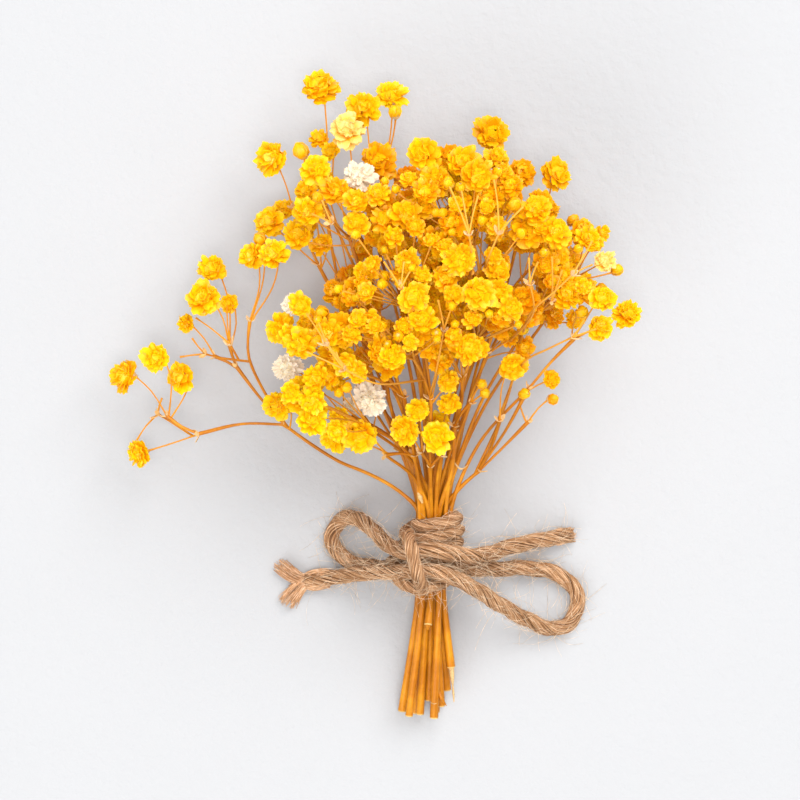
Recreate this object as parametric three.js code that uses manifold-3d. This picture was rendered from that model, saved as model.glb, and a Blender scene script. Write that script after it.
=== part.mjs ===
// A dried bouquet of baby's breath: fourteen branched stems with double blooms and round buds,
// bound by a collar of jute twine with a bow, and lying on its back on a flat surface.
//
// Millimetres, +Z up. The cut ends point to -Y and the flower head to +Y. The surface is z = 0,
// and the origin is under the middle of the bouquet.

import * as THREE from 'three';
import { mergeVertices } from 'three/addons/utils/BufferGeometryUtils.js';
import Module from 'manifold-3d';

const wasm = await Module();
wasm.setup();
const { Manifold, Mesh } = wasm;

// ---------------------------------------------------------------- driving dimensions

// The layout is drawn on a sheet as the bouquet looks from an eye above it. One unit of the sheet
// is UNIT mm for what lies at SHEET_Z, and what lies higher is drawn larger.
const UNIT = 0.2;
const SHEET_Z = 25;
const EYE_Z = 675;
const SHEET_CENTRE = [400, 400];
const ORIGIN = [-5.1, 0.55]; // of the part's frame, from the middle of the sheet, in mm

const TIE_AT = [431, 550, 11]; // the middle of the twine collar, on the sheet, with its height
const TIE_SLOPE = 0.2; // how steeply the stems rise through the collar
const TIE_HALF = 8; // half of the collar's length
const STEM_PITCH = 1.62; // from stem to stem inside the collar

const FOOT_RADIUS = 0.86; // of a stem at its cut end
const TIED_RADIUS = 0.64; // of a stem inside the collar
const TRUNK_RADIUS = 0.55; // of a stem from the collar to its first fork
const BRANCH_RADIUS = 0.46;
const PEDICEL_RADIUS = 0.3;
const JOINT_SWELL = 1.5; // how much thicker a stem is where it forks
const JOINT_STEP = 0.5; // along a fork, from one pedicel to the next
const STRAIGHT_WITHIN = 0.4; // a pedicel that bends less than this is straight
const FULL_BLOOM = 3.3; // from this radius on a bloom has six petals in each layer, and below it five
const CUP_DEPTH = 0.6; // of a bloom below its middle, as a share of its radius
const BUD_DEPTH = 0.8;
const PRESSED = 0.78; // height of the middle of a bloom that lies on the surface, as a share of its radius

const COLLAR_INNER = 4.15;
const COLLAR_TURN = 3.4; // from turn to turn
const COLLAR_GROOVE = 5.3; // radius between two turns
const COLLAR_OUTER = 7; // radius on top of a turn
const TWINE_RADIUS = 1.7;
const FRAY_RADII = [1.5, 1.3, 1.35, 1.5];

const COLLAR_ROWS = 14;
const COLLAR_COLUMNS = 14;

const CLEARANCE = 0.34; // between pieces that are not one
const PACKING = 0.8; // how close blooms of one spray may press, as a share of touching
const SETTLE_ROUNDS = 120;
const LIFT_SHARE = 0.3; // of an overlap that each round clears by moving up or down
const SLIP_SHARE = 0.12; // of an overlap that each round clears by moving sideways
const BENDS = 8; // directions in which a stem may bend out of the way
const REACHES = [0, 0.12, 0.24, 0.38]; // how far it may bend, as shares of its length

// ---------------------------------------------------------------- layout

// Each spray: name, its place in the collar [across, up] in pitches, its cut end [x, y, z], and its
// branches. A branch is [path, tips, branches]: points [x, y] up to its fork, the tips there as
// [x, y, z, diameter, kind], and the branches that go on from the fork. x, y and the diameter are
// in units of the sheet, and z is the height above the surface in mm.
const SPRAYS = [
  ['spray_front_left', -1, 1.5, [409, 716, 7.4], [[[414, 455]], [], [
    [[[385, 455]], [[360, 434, 31, 38], [338, 418, 30, 22], [334, 438, 25, 30]], []],
    [[[404, 396]], [], [
      [[[344, 369]], [
        [301, 305, 45, 26], [302, 344, 48, 36], [280, 329, 41, 32], [322, 312, 47, 15, 'bud']], []],
      [[[374, 366]], [[341, 331, 46, 38], [308, 322, 36, 28]], []]]],
    [[[365, 424]], [[308, 389, 36, 34], [319, 408, 33, 22]], []]]]],
  ['spray_front_middle', 0, 1.5, [428, 625, 12.6], [[[430, 466]], [], [
    [[[421, 452]], [[404, 430, 31, 32], [418, 411, 32, 26]], []],
    [[[442, 455]], [[436, 437, 31, 34], [440, 423, 25, 26], [449, 404, 32, 24]], []],
    [[[431, 398]], [[441, 358, 42, 28], [449, 381, 39, 24]], [
      [[[410, 352]], [
        [414, 297, 54, 34], [375, 330, 43, 30], [392, 352, 41, 28], [427, 319, 49, 10, 'bud']], []],
      [[[424, 345]], [[421, 335, 44, 20]], [
        [[[404, 304]], [[407, 262, 51, 28], [424, 278, 49, 24], [401, 283, 51, 14, 'bud'],
          [384, 276, 48, 13, 'bud'], [369, 273, 45, 12, 'bud']], []]]]]]]]],
  ['spray_front_right', 1, 1.5, [434, 718, 7.4], [[[455, 425]], [], [
    [[[471, 402]], [[482, 384, 37, 12, 'bud'], [485, 393, 34, 12, 'bud']], []],
    [[[462, 376]], [[463, 340, 38, 30], [439, 337, 38, 20]], []],
    [[[476, 335]], [[478, 293, 53, 36], [451, 305, 52, 14, 'bud'], [454, 317, 45, 24]], [
      [[[456, 305]], [[444, 279, 50, 28], [432, 260, 45, 26]], []],
      [[[481, 278]], [[460, 260, 53, 36], [498, 271, 48, 28]], [
        [[[499, 233]], [[511, 185, 47, 30], [515, 204, 52, 16, 'bud'], [496, 158, 42, 28]], []],
        [[[471, 234]], [[465, 192, 45, 30], [448, 181, 49, 12, 'bud'], [460, 187, 51, 11, 'bud']], []]]]]]]]],
  ['spray_far_left', -1.5, 0.5, [402, 711, 4.8], [
    [[385, 482], [340, 462], [283, 424]], [[278, 405, 27, 32]], [
    [[[198, 434]], [[139, 453, 14, 28]], [
      [[[166, 415]], [[125, 376, 17, 34], [156, 358, 21, 30], [180, 376, 17, 32]], []]]],
    [[[236, 366]], [], [
      [[[229, 343]], [[203, 297, 25, 36], [212, 269, 21, 30], [229, 303, 20, 20]], []],
      [[[214, 356]], [[186, 324, 21, 20]], []]]],
    [[[249, 358], [250, 320]], [[252, 256, 30, 30], [273, 253, 35, 33], [260, 239, 30, 14, 'bud']], []]]]],
  ['spray_left', -0.5, 0.5, [420, 714, 4.2], [[[398, 440]], [], [
    [[[372, 430]], [[369, 401, 31, 36, 'cream'], [351, 407, 27, 20, 'cream']], []],
    [[[340, 412]], [[287, 368, 27, 30, 'cream'], [334, 381, 25, 26]], []],
    [[[385, 370]], [[364, 360, 27, 28]], [
      [[[374, 330]], [[369, 301, 33, 30], [352, 275, 27, 26]], []],
      [[[352, 328]], [
        [334, 291, 34, 26], [350, 291, 28, 26], [343, 304, 38, 20], [291, 305, 30, 22, 'cream']], []]]]]]],
  ['spray_middle_right', 0.5, 0.5, [441, 706, 4.8], [[[458, 430]], [], [
    [[[488, 352]], [[502, 308, 39, 30], [499, 327, 34, 24], [509, 337, 30, 22], [524, 348, 27, 24]], []],
    [[[465, 330]], [], [
      [[[474, 275]], [[500, 240, 36, 30], [464, 240, 39, 30], [520, 294, 30, 22]], []],
      [[[450, 235]], [[450, 161, 36, 38], [424, 157, 30, 24], [471, 174, 33, 22], [431, 186, 27, 30],
        [447, 212, 36, 11, 'bud']], []]]]]]],
  ['spray_far_right', 1.5, 0.5, [451, 667, 6.4], [[[480, 470]], [], [
    [[[529, 421]], [[553, 399, 20, 12, 'bud'], [524, 394, 24, 12, 'bud']], []],
    [[[500, 420]], [[512, 367, 38, 30]], []],
    [[[529, 388]], [[552, 380, 23, 20]], [
      [[[576, 337]], [[628, 314, 28, 30], [600, 327, 32, 28], [582, 312, 36, 14, 'bud']], []]]],
    [[[519, 350], [537, 311]], [[553, 282, 32, 42], [522, 243, 38, 28]], [
      [[[578, 276]], [[604, 261, 37, 24, 'pale'], [596, 243, 33, 18], [617, 270, 29, 12, 'bud'],
        [601, 289, 31, 13, 'bud']], []],
      [[[543, 270]], [[548, 245, 43, 34], [560, 239, 35, 28]], []]]]]]],
  ['spray_upper_left', -1, -0.5, [416, 713, 2.6], [[[396, 425], [370, 305]], [], [
    [[[349, 237]], [
      [336, 191, 41, 31], [308, 212, 38, 32], [318, 197, 43, 12, 'bud'], [299, 235, 33, 33]], []],
    [[[350, 222]], [[316, 169, 37, 32], [346, 130, 31, 38, 'pale']], []],
    [[[372, 226]], [[378, 162, 29, 40], [364, 108, 25, 37], [359, 176, 34, 34, 'cream']], []]]]],
  ['spray_middle', 0, -0.5, [429, 700, 3.5], [[[422, 400], [410, 312]], [], [
    [[[396, 282]], [[392, 246, 43, 32], [376, 234, 35, 26], [362, 250, 30, 24]], []],
    [[[417, 278]], [
      [410, 247, 38, 22], [428, 245, 41, 26], [394, 226, 40, 11, 'bud'], [405, 227, 39, 10, 'bud']], []],
    [[[406, 246]], [[386, 203, 33, 30], [412, 203, 36, 34], [429, 221, 31, 28]], []]]]],
  ['spray_upper_right', 1, -0.5, [447, 690, 2.8], [[[468, 410], [503, 300]], [], [
    [[[518, 238]], [[522, 218, 31, 24], [521, 172, 24, 32], [540, 202, 28, 28]], []],
    [[[548, 252]], [
      [557, 174, 24, 34], [573, 220, 25, 13, 'bud'], [582, 231, 27, 30], [602, 234, 22, 20]], []],
    [[[545, 320]], [[569, 260, 25, 26], [554, 316, 24, 26], [575, 320, 22, 22], [583, 288, 25, 30]], []],
    [[[496, 222]], [[492, 134, 25, 38], [488, 217, 24, 26]], []]]]],
  ['spray_back_left', -1.5, -1.5, [404, 708, 1], [[[392, 430], [350, 330]], [], [
    [[[318, 264]], [[269, 222, 22, 34], [322, 244, 22, 24], [306, 191, 27, 24]], [
      [[[292, 207]], [[272, 158, 21, 37], [301, 151, 27, 18, 'bud'], [285, 209, 17, 24]], []]]],
    [[[324, 200]], [[320, 87, 20, 40], [319, 139, 18, 22], [331, 151, 22, 20]], []]]]],
  ['spray_under_left', -0.5, -1.5, [425, 640, 3.9], [[[400, 450]], [], [
    [[[350, 372]], [[345, 325, 8, 30], [305, 340, 9, 30], [312, 385, 7, 26]], []],
    [[[352, 300]], [[348, 280, 2.2, 28], [305, 228, 8, 30], [322, 180, 7, 28], [310, 205, 2.2, 28]], []]]]],
  ['spray_under_middle', 0.5, -1.5, [436, 712, 1], [[[428, 420], [408, 340]], [[376, 338, 2.2, 28]], [
    [[[398, 296]], [[372, 305, 8, 28], [395, 250, 7, 30], [416, 302, 7, 28]], []],
    [[[405, 235]], [[410, 200, 7, 30], [380, 165, 8, 28], [408, 177, 18, 26], [357, 190, 19, 20]], [
      [[[388, 150]], [[391, 96, 17, 32], [395, 112, 21, 14, 'bud']], []]]]]]],
  ['spray_under_right', 1.5, -1.5, [446, 640, 3.4], [[[452, 430], [478, 350]], [], [
    [[[490, 318]], [[480, 295, 2.3, 30], [505, 318, 8, 28], [463, 338, 8, 26]], []],
    [[[500, 275]], [[500, 240, 2.3, 30], [462, 262, 11, 26], [510, 190, 8, 28], [455, 168, 7, 30]], []],
    [[[520, 310]], [[552, 284, 8, 30], [545, 246, 7, 28], [548, 208, 8, 26]], []]]]],
];

// The two lengths of twine that make the bow, from the end at the collar: points [x, y] on the
// sheet with their height. The first makes the right loop, crosses the knot and ends frayed on
// the left. The second makes the left loop, crosses the knot and ends cut on the right.
const TWINE_RIGHT_LOOP = [
  [468, 569, 10.2], [484, 569, 8.6], [500, 569, 6.6], [525, 568, 3.6], [552, 572, 2], [571, 584, 1.8],
  [578, 602, 1.8], [570, 622, 1.9], [554, 629, 2.6], [530, 621, 5.4], [500, 605, 10.6], [472, 587, 16.6],
  [457, 579, 18.9], [442, 573, 19.8], [428, 571, 19.8], [413, 571, 18.8], [398, 572, 16.4],
  [380, 572, 12.8], [355, 574, 7.8], [335, 577, 4.4], [318, 580, 2.4], [306, 581, 1.8]];
const TWINE_LEFT_LOOP = [
  [394, 568, 9.7], [381, 567, 8], [368, 566, 5.6], [351, 562, 2.8], [338, 553, 1.8], [332, 538, 1.8],
  [337, 524, 1.9], [350, 517, 3.6], [367, 525, 8.2], [385, 542, 13.6], [400, 551, 17.6], [415, 552, 20],
  [431, 550, 21], [449, 552, 20.2], [466, 556, 17.4], [485, 555, 13.6], [510, 547, 9], [540, 540, 4.6],
  [571, 535, 1.8]];
const FRAYED_STRANDS = [
  [[309, 581, 1.8], [292, 575, 1.7], [275, 561, 1.6]],
  [[309, 581, 1.8], [295, 592, 1.7], [284, 608, 1.6]]];
const KNOT_BAND = [
  [407, 531, 18.2], [408, 538, 22.4], [411, 548, 24.8], [414, 560, 25.2], [417, 573, 24.6], [420, 586, 22.2],
  [422, 597, 17.6]];

// ---------------------------------------------------------------- placing

function place([x, y, z]) {
  const k = (UNIT * (EYE_Z - z)) / (EYE_Z - SHEET_Z);
  return new THREE.Vector3((x - SHEET_CENTRE[0]) * k - ORIGIN[0], (SHEET_CENTRE[1] - y) * k - ORIGIN[1], z);
}

const TIE = place(TIE_AT);
const TIE_AXIS = new THREE.Vector3(0, 1, TIE_SLOPE).normalize();
const TIE_UP = new THREE.Vector3(0, -TIE_SLOPE, 1).normalize();
const HEAD_CENTRE = place([430, 300, 14]);
const HEAD_RADIUS = 40;

function inCollar(across, up, along) {
  const p = TIE.clone().addScaledVector(TIE_AXIS, along);
  p.x += across * STEM_PITCH;
  return p.addScaledVector(TIE_UP, up * STEM_PITCH * Math.sin(Math.PI / 3));
}

// A tip's bloom or bud as a ball: where it is, how large, and on which spray.
function tipOf([x, y, z, diameter, kind = 'bloom'], spray) {
  const radius = (diameter / 2) * UNIT * (EYE_Z - z) / (EYE_Z - SHEET_Z);
  return { centre: place([x, y, z]), radius, kind, spray };
}

function grow([path, tips, branches], spray) {
  return { path, tips: tips.map((t) => tipOf(t, spray)), branches: branches.map((b) => grow(b, spray)) };
}

function tipsUnder(branch) {
  return [...branch.tips, ...branch.branches.flatMap(tipsUnder)];
}

// Blooms of different sprays push each other apart, mostly up and down, until they only touch.
function push(a, b) {
  const grown = a.spray === b.spray && (a.kind === 'cream') === (b.kind === 'cream');
  const apart = (a.radius + b.radius) * (grown ? PACKING : 1) + (grown ? 0 : CLEARANCE);
  const d = b.centre.clone().sub(a.centre);
  const short = apart - d.length();
  if (short <= 0) return;
  const aside = Math.hypot(d.x, d.y);
  const lift = (Math.sqrt(Math.max(0, apart * apart - aside * aside)) - Math.abs(d.z)) * LIFT_SHARE;
  const slip = aside > 0 ? (short * SLIP_SHARE) / aside : 0;
  const move = new THREE.Vector3(d.x * slip, d.y * slip, d.z < 0 ? -lift : lift);
  a.centre.sub(move);
  b.centre.add(move);
  a.centre.z = Math.max(a.centre.z, a.radius * PRESSED);
  b.centre.z = Math.max(b.centre.z, b.radius * PRESSED);
}

function settle(tips) {
  for (let round = 0; round < SETTLE_ROUNDS; round++) {
    tips.forEach((a, i) => tips.slice(i + 1).forEach((b) => push(a, b)));
  }
}

// A bloom faces away from the middle of the head and from the collar.
function facing(tip) {
  const out = tip.centre.clone().sub(HEAD_CENTRE).divideScalar(HEAD_RADIUS);
  const along = tip.centre.clone().sub(TIE).normalize();
  return out.addScaledVector(along, 0.8).normalize();
}

// ---------------------------------------------------------------- routing

const stems = []; // every stem laid so far, as { spray, points, radii, sides, box }

function distanceToSegment(p, a, b) {
  const d = b.clone().sub(a);
  const t = THREE.MathUtils.clamp(p.clone().sub(a).dot(d) / Math.max(d.lengthSq(), 1e-9), 0, 1);
  return p.distanceTo(a.clone().addScaledVector(d, t));
}

// How far a stem of that radius stays from the other sprays and from the surface.
function roomAlong(points, radius, spray, balls) {
  let room = Infinity;
  for (const p of points) {
    room = Math.min(room, p.z - radius + CLEARANCE);
    for (const ball of balls) room = Math.min(room, p.distanceTo(ball.centre) - ball.radius - radius);
    for (const stem of stems) {
      if (stem.spray === spray || stem.box.distanceToPoint(p) > room + FOOT_RADIUS + radius) continue;
      for (let i = 1; i < stem.points.length; i++) {
        const gap = distanceToSegment(p, stem.points[i - 1], stem.points[i]);
        room = Math.min(room, gap - radius - Math.max(stem.radii[i - 1], stem.radii[i]));
      }
    }
  }
  return room;
}

// The middle of the gentlest bend from a to c, by way of about b, that clears the other sprays.
function elbow(a, b, c, radius, spray, own) {
  const way = c.clone().sub(a);
  const side = new THREE.Vector3(way.y, -way.x, 0).setLength(way.length());
  const over = way.clone().cross(side).setLength(way.length());
  const balls = tips.filter((t) => t !== own && (t.spray !== spray || t.kind === 'cream'));
  let best = null;
  for (const reach of REACHES) {
    for (let k = 0; k < (reach ? BENDS : 1); k++) {
      const turn = (k / BENDS) * 2 * Math.PI;
      const knee = b.clone()
        .addScaledVector(side, Math.cos(turn) * reach)
        .addScaledVector(over, Math.sin(turn) * reach);
      const middle = a.clone().add(c).multiplyScalar(0.25).addScaledVector(knee, 0.5);
      const probes = [];
      for (let n = 1; n < 5; n++) probes.push(a.clone().lerp(middle, n / 5), middle.clone().lerp(c, n / 5));
      const room = roomAlong([...probes, middle], radius, spray, balls);
      if (!best || room > best.room) best = { middle, room };
      if (room > CLEARANCE) return best.middle;
    }
  }
  return best.middle;
}

function lay(spray, points, radii, sides) {
  stems.push({ spray, points, radii, sides, box: new THREE.Box3().setFromPoints(points) });
}

// ---------------------------------------------------------------- solids

function solid(geometry) {
  const g = new THREE.BufferGeometry().setAttribute('position', geometry.getAttribute('position'));
  if (geometry.index) g.setIndex(geometry.index);
  const merged = mergeVertices(g, 1e-4);
  const corners = [];
  for (let i = 0; i < merged.index.count; i += 3) {
    const [a, b, c] = merged.index.array.slice(i, i + 3);
    if (a !== b && b !== c && c !== a) corners.push(a, b, c);
  }
  return new Manifold(new Mesh({
    numProp: 3,
    vertProperties: new Float32Array(merged.attributes.position.array),
    triVerts: new Uint32Array(corners),
  }));
}

function geometryOf(made) {
  const { vertProperties, triVerts } = made.getMesh();
  const g = new THREE.BufferGeometry();
  g.setAttribute('position', new THREE.BufferAttribute(vertProperties, 3));
  g.setIndex(new THREE.BufferAttribute(triVerts, 1));
  g.computeVertexNormals();
  return g;
}

// A cylinder bent along points, with its own radius at each.
function tube(points, radii, sides) {
  const steps = points.length - 1;
  const g = new THREE.CylinderGeometry(1, 1, 1, sides, steps);
  const frames = [];
  let normal = new THREE.Vector3(0, 0, 1);
  for (let i = 0; i <= steps; i++) {
    const ahead = points[Math.min(i + 1, steps)].clone().sub(points[Math.max(i - 1, 0)]).normalize();
    normal = normal.clone().addScaledVector(ahead, -normal.dot(ahead));
    if (normal.lengthSq() < 1e-6) normal = new THREE.Vector3(1, 0, 0).addScaledVector(ahead, -ahead.x);
    normal.normalize();
    frames.push([normal, normal.clone().cross(ahead)]);
  }
  const position = g.getAttribute('position');
  for (let i = 0; i < position.count; i++) {
    const ring = Math.round((position.getY(i) + 0.5) * steps);
    const [n, b] = frames[ring];
    const p = points[ring].clone()
      .addScaledVector(n, position.getX(i) * radii[ring])
      .addScaledVector(b, position.getZ(i) * radii[ring]);
    position.setXYZ(i, p.x, p.y, p.z);
  }
  return solid(g);
}

// Half-width and height of each row of a head, from its top down, as shares of its radius, for the
// even columns and the odd ones. A double bloom has a dimpled middle, a crown of inner petals and a
// rim of outer ones, notched between. Below the last row it narrows to its pedicel.
const BLOOM_ROWS = [
  [[0, 0.58], [0, 0.58]],
  [[0.44, 0.5], [0.64, 0.68]],
  [[1, -0.06], [0.76, 0.14]],
];
const BUD_ROWS = [
  [[0, 1], [0, 1]],
  [[0.78, 0.52], [0.78, 0.52]],
  [[0.84, -0.36], [0.84, -0.36]],
];

// A head with its pedicel. The rows of a sphere are reshaped, and the rows below the head are drawn
// out into a stalk with three corners. Without a stalk the head ends in a point.
function head(tip, index, stalk = []) {
  const rows = tip.kind === 'bud' ? BUD_ROWS : BLOOM_ROWS;
  const columns = tip.kind === 'bud' ? 6 : 2 * (tip.radius > FULL_BLOOM ? 6 : 5);
  const g = new THREE.SphereGeometry(1, columns, rows.length + stalk.length);
  const turn = new THREE.Quaternion().setFromUnitVectors(new THREE.Vector3(0, 1, 0), facing(tip))
    .multiply(new THREE.Quaternion().setFromAxisAngle(new THREE.Vector3(0, 1, 0), index * 2.4));
  const across = new THREE.Vector3(-1, 0, 0).applyQuaternion(turn);
  const aside = new THREE.Vector3(0, 0, 1).applyQuaternion(turn);
  const position = g.getAttribute('position');
  for (let i = 0; i < position.count; i++) {
    const row = Math.floor(i / (columns + 1));
    const column = (i % (columns + 1)) % columns;
    const p = new THREE.Vector3();
    if (row < rows.length) {
      const [out, up] = rows[row][column % 2];
      const angle = (column / columns) * 2 * Math.PI;
      p.set(-Math.cos(angle) * out, up, Math.sin(angle) * out).multiplyScalar(tip.radius);
      p.applyQuaternion(turn).add(tip.centre);
    } else if (stalk.length === 0) {
      p.copy(tip.centre).addScaledVector(facing(tip), -CUP_DEPTH * tip.radius);
    } else {
      const k = Math.min(row - rows.length, stalk.length - 1);
      const next = stalk[Math.min(k + 1, stalk.length - 1)];
      const ahead = next.clone().sub(stalk[Math.max(k - 1, 0)]).normalize();
      across.addScaledVector(ahead, -across.dot(ahead)).normalize();
      aside.addScaledVector(ahead, -aside.dot(ahead)).addScaledVector(across, -aside.dot(across)).normalize();
      const corner = ((Math.floor((column * 3) / columns) + 0.5) / 3) * 2 * Math.PI;
      const out = row === rows.length + stalk.length ? 0 : PEDICEL_RADIUS;
      p.copy(stalk[k]).addScaledVector(across, Math.cos(corner) * out);
      p.addScaledVector(aside, Math.sin(corner) * out);
    }
    position.setXYZ(i, p.x, p.y, p.z);
  }
  return solid(g);
}

// The twine collar: its turns run round as a helix, raised from the wall of a tube.
function collar() {
  const profile = [new THREE.Vector2(COLLAR_INNER, -TIE_HALF)];
  for (let i = 0; i <= COLLAR_ROWS; i++) {
    profile.push(new THREE.Vector2(COLLAR_GROOVE, TIE_HALF * ((2 * i) / COLLAR_ROWS - 1)));
  }
  profile.push(new THREE.Vector2(COLLAR_INNER, TIE_HALF), profile[0].clone());
  const g = new THREE.LatheGeometry(profile, COLLAR_COLUMNS);
  const position = g.getAttribute('position');
  for (let i = 0; i < position.count; i++) {
    const [x, y, z] = [position.getX(i), position.getY(i), position.getZ(i)];
    const out = Math.hypot(x, z);
    if (out < (COLLAR_INNER + COLLAR_GROOVE) / 2) continue;
    const turn = y / COLLAR_TURN + Math.atan2(z, x) / (2 * Math.PI);
    const across = 2 * (turn - Math.floor(turn)) - 1;
    const wanted = COLLAR_GROOVE + (COLLAR_OUTER - COLLAR_GROOVE) * Math.sqrt(1 - across * across);
    position.setXYZ(i, (x * wanted) / out, y, (z * wanted) / out);
  }
  const lean = new THREE.Quaternion().setFromUnitVectors(new THREE.Vector3(0, 1, 0), TIE_AXIS);
  return solid(g.applyQuaternion(lean).translate(TIE.x, TIE.y, TIE.z));
}

function twine(points, steps) {
  const extrudePath = new THREE.CatmullRomCurve3(points.map(place), false, 'centripetal');
  const section = new THREE.Shape().absarc(0, 0, TWINE_RADIUS, 0, 2 * Math.PI);
  const options = { extrudePath, steps, curveSegments: 4, bevelEnabled: false };
  return solid(new THREE.ExtrudeGeometry(section, options));
}

function frayedStrand(points) {
  const curve = new THREE.CatmullRomCurve3(points.map(place));
  return tube(curve.getSpacedPoints(FRAY_RADII.length - 1), FRAY_RADII, 6);
}

// ---------------------------------------------------------------- growing the sprays

const sprays = SPRAYS.map(([name, across, up, foot, branch], index) => ({
  name,
  index,
  foot: place(foot),
  low: inCollar(across, up, -TIE_HALF),
  high: inCollar(across, up, TIE_HALF),
  branch: grow(branch, index),
}));
const tips = sprays.flatMap((s) => tipsUnder(s.branch));
settle(tips);

// The height of a branch's fork lies on the way from its start to the middle of its tips.
function forkPoints(branch, start) {
  const under = tipsUnder(branch);
  const middle = under.reduce((sum, t) => sum.add(t.centre), new THREE.Vector3()).divideScalar(under.length);
  let from = start;
  return branch.path.map(([x, y]) => {
    let p = place([x, y, from.z]);
    for (let i = 0; i < 3; i++) {
      const done = Math.hypot(p.x - from.x, p.y - from.y);
      const left = Math.hypot(p.x - middle.x, p.y - middle.y);
      p = place([x, y, from.z + ((middle.z - from.z) * done) / (done + left)]);
    }
    from = p;
    return p;
  });
}

// Where the nth branch or pedicel starts, counted back from the fork.
function startOn(branch, n) {
  return branch.fork.clone().addScaledVector(branch.ahead, -(n + 0.4) * JOINT_STEP);
}

function layBranch(branch, start, ahead, spray, trunk) {
  const [thick, thin, sides] = trunk ? [TIED_RADIUS, TRUNK_RADIUS, 6] : [BRANCH_RADIUS, BRANCH_RADIUS, 4];
  const points = trunk ? [spray.foot, spray.low, start] : [start];
  const radii = trunk ? [FOOT_RADIUS, TIED_RADIUS, TIED_RADIUS] : [BRANCH_RADIUS];
  let from = start;
  let along = ahead;
  for (const fork of forkPoints(branch, start)) {
    const way = fork.clone().sub(from);
    const knee = from.clone().addScaledVector(along, way.length() * 0.18).addScaledVector(way, 0.32);
    const middle = elbow(from, knee, fork, thick, spray.index);
    points.push(middle, fork);
    radii.push(thin, thin);
    along = fork.clone().sub(middle).normalize();
    from = fork;
  }
  radii[radii.length - 1] *= JOINT_SWELL;
  lay(spray.index, points, radii, sides);
  branch.fork = from;
  branch.ahead = along;
  branch.branches.forEach((child, n) => layBranch(child, startOn(branch, n), along, spray, false));
}

function layPedicels(branch, spray) {
  branch.tips.forEach((tip, n) => {
    const face = facing(tip);
    const cup = (tip.kind === 'bud' ? BUD_DEPTH : CUP_DEPTH) * tip.radius;
    const seat = tip.centre.clone().addScaledVector(face, -cup - (tip.kind === 'cream' ? CLEARANCE : 0));
    const start = startOn(branch, branch.branches.length + n);
    const knee = seat.clone().addScaledVector(face, -0.35 * seat.distanceTo(start));
    const middle = elbow(start, knee, seat, PEDICEL_RADIUS, spray.index, tip);
    const straight = distanceToSegment(middle, start, seat) < STRAIGHT_WITHIN;
    tip.stalk = straight ? [seat, start] : [seat, middle, start];
    lay(spray.index, tip.stalk, tip.stalk.map(() => PEDICEL_RADIUS), 3);
  });
  for (const child of branch.branches) layPedicels(child, spray);
}

for (const spray of sprays) layBranch(spray.branch, spray.high, TIE_AXIS, spray, true);
for (const spray of sprays) layPedicels(spray.branch, spray);

// ---------------------------------------------------------------- assembly

// Another spray's stem that passes among the petals of a bloom leaves a groove in it.
function grooved(made, tip) {
  for (const stem of stems.filter((s) => s.spray !== tip.spray)) {
    for (let i = 1; i < stem.points.length; i++) {
      const [a, b] = [stem.points[i - 1], stem.points[i]];
      const radius = Math.max(stem.radii[i - 1], stem.radii[i]);
      if (distanceToSegment(tip.centre, a, b) > tip.radius + radius) continue;
      const past = b.clone().sub(a).setLength(CLEARANCE);
      const wide = radius + CLEARANCE;
      made = made.subtract(tube([a.clone().sub(past), b.clone().add(past)], [wide, wide], 4));
    }
  }
  return made;
}

const OCHRE = new THREE.Color(0xb9761a);
const YELLOW = new THREE.Color(0xf5b80a);
const dyedFlowers = new THREE.MeshStandardMaterial({ vertexColors: true, roughness: 0.75, metalness: 0 });
const creamFlowers = new THREE.MeshStandardMaterial({ color: 0xf2e2cc, roughness: 0.8, metalness: 0 });
const jute = new THREE.MeshStandardMaterial({ color: 0xb08a5f, roughness: 0.95, metalness: 0 });

const bouquet = new THREE.Group();
bouquet.name = 'bouquet';

// What would reach below the surface is pressed flat on it, and a loose scrap is dropped.
function add(name, made, material) {
  const bodies = made.trimByPlane([0, 0, 1], 0).decompose();
  const whole = bodies.reduce((a, b) => (a.volume() > b.volume() ? a : b));
  const mesh = new THREE.Mesh(geometryOf(whole), material);
  mesh.name = name;
  bouquet.add(mesh);
  return mesh;
}

// Yellow on the blooms and buds, ochre on the stems.
function paint(mesh, heads) {
  const position = mesh.geometry.getAttribute('position');
  const colours = new Float32Array(position.count * 3);
  const p = new THREE.Vector3();
  for (let i = 0; i < position.count; i++) {
    p.fromBufferAttribute(position, i);
    const onHead = heads.some((t) => p.distanceTo(t.centre) < t.radius + PEDICEL_RADIUS);
    (onHead ? YELLOW : OCHRE).toArray(colours, i * 3);
  }
  mesh.geometry.setAttribute('color', new THREE.BufferAttribute(colours, 3));
}

for (const spray of sprays) {
  const heads = tipsUnder(spray.branch).filter((t) => t.kind !== 'cream');
  const drawn = new Set(heads.map((t) => t.stalk));
  const wood = stems.filter((s) => s.spray === spray.index && !drawn.has(s.points));
  const grown = Manifold.union([
    ...wood.map((s) => tube(s.points, s.radii, s.sides)),
    ...heads.map((tip, i) => grooved(head(tip, i, tip.stalk), tip)),
  ]);
  paint(add(spray.name, grown, dyedFlowers), heads);
}

const creams = tips.filter((t) => t.kind === 'cream');
creams.forEach((tip, i) => add(`cream_bloom_${i + 1}`, grooved(head(tip, i), tip), creamFlowers));

add('twine_collar', collar(), jute);
add('twine_knot', twine(KNOT_BAND, 7), jute);
const strands = FRAYED_STRANDS.map(frayedStrand);
add('twine_right_loop', Manifold.union([twine(TWINE_RIGHT_LOOP, 18), ...strands]), jute);
add('twine_left_loop', twine(TWINE_LEFT_LOOP, 16), jute);

export default bouquet;
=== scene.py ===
"""A small dried bouquet of dyed baby's breath, tied with a jute bow, lying on a pale floor."""

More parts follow.
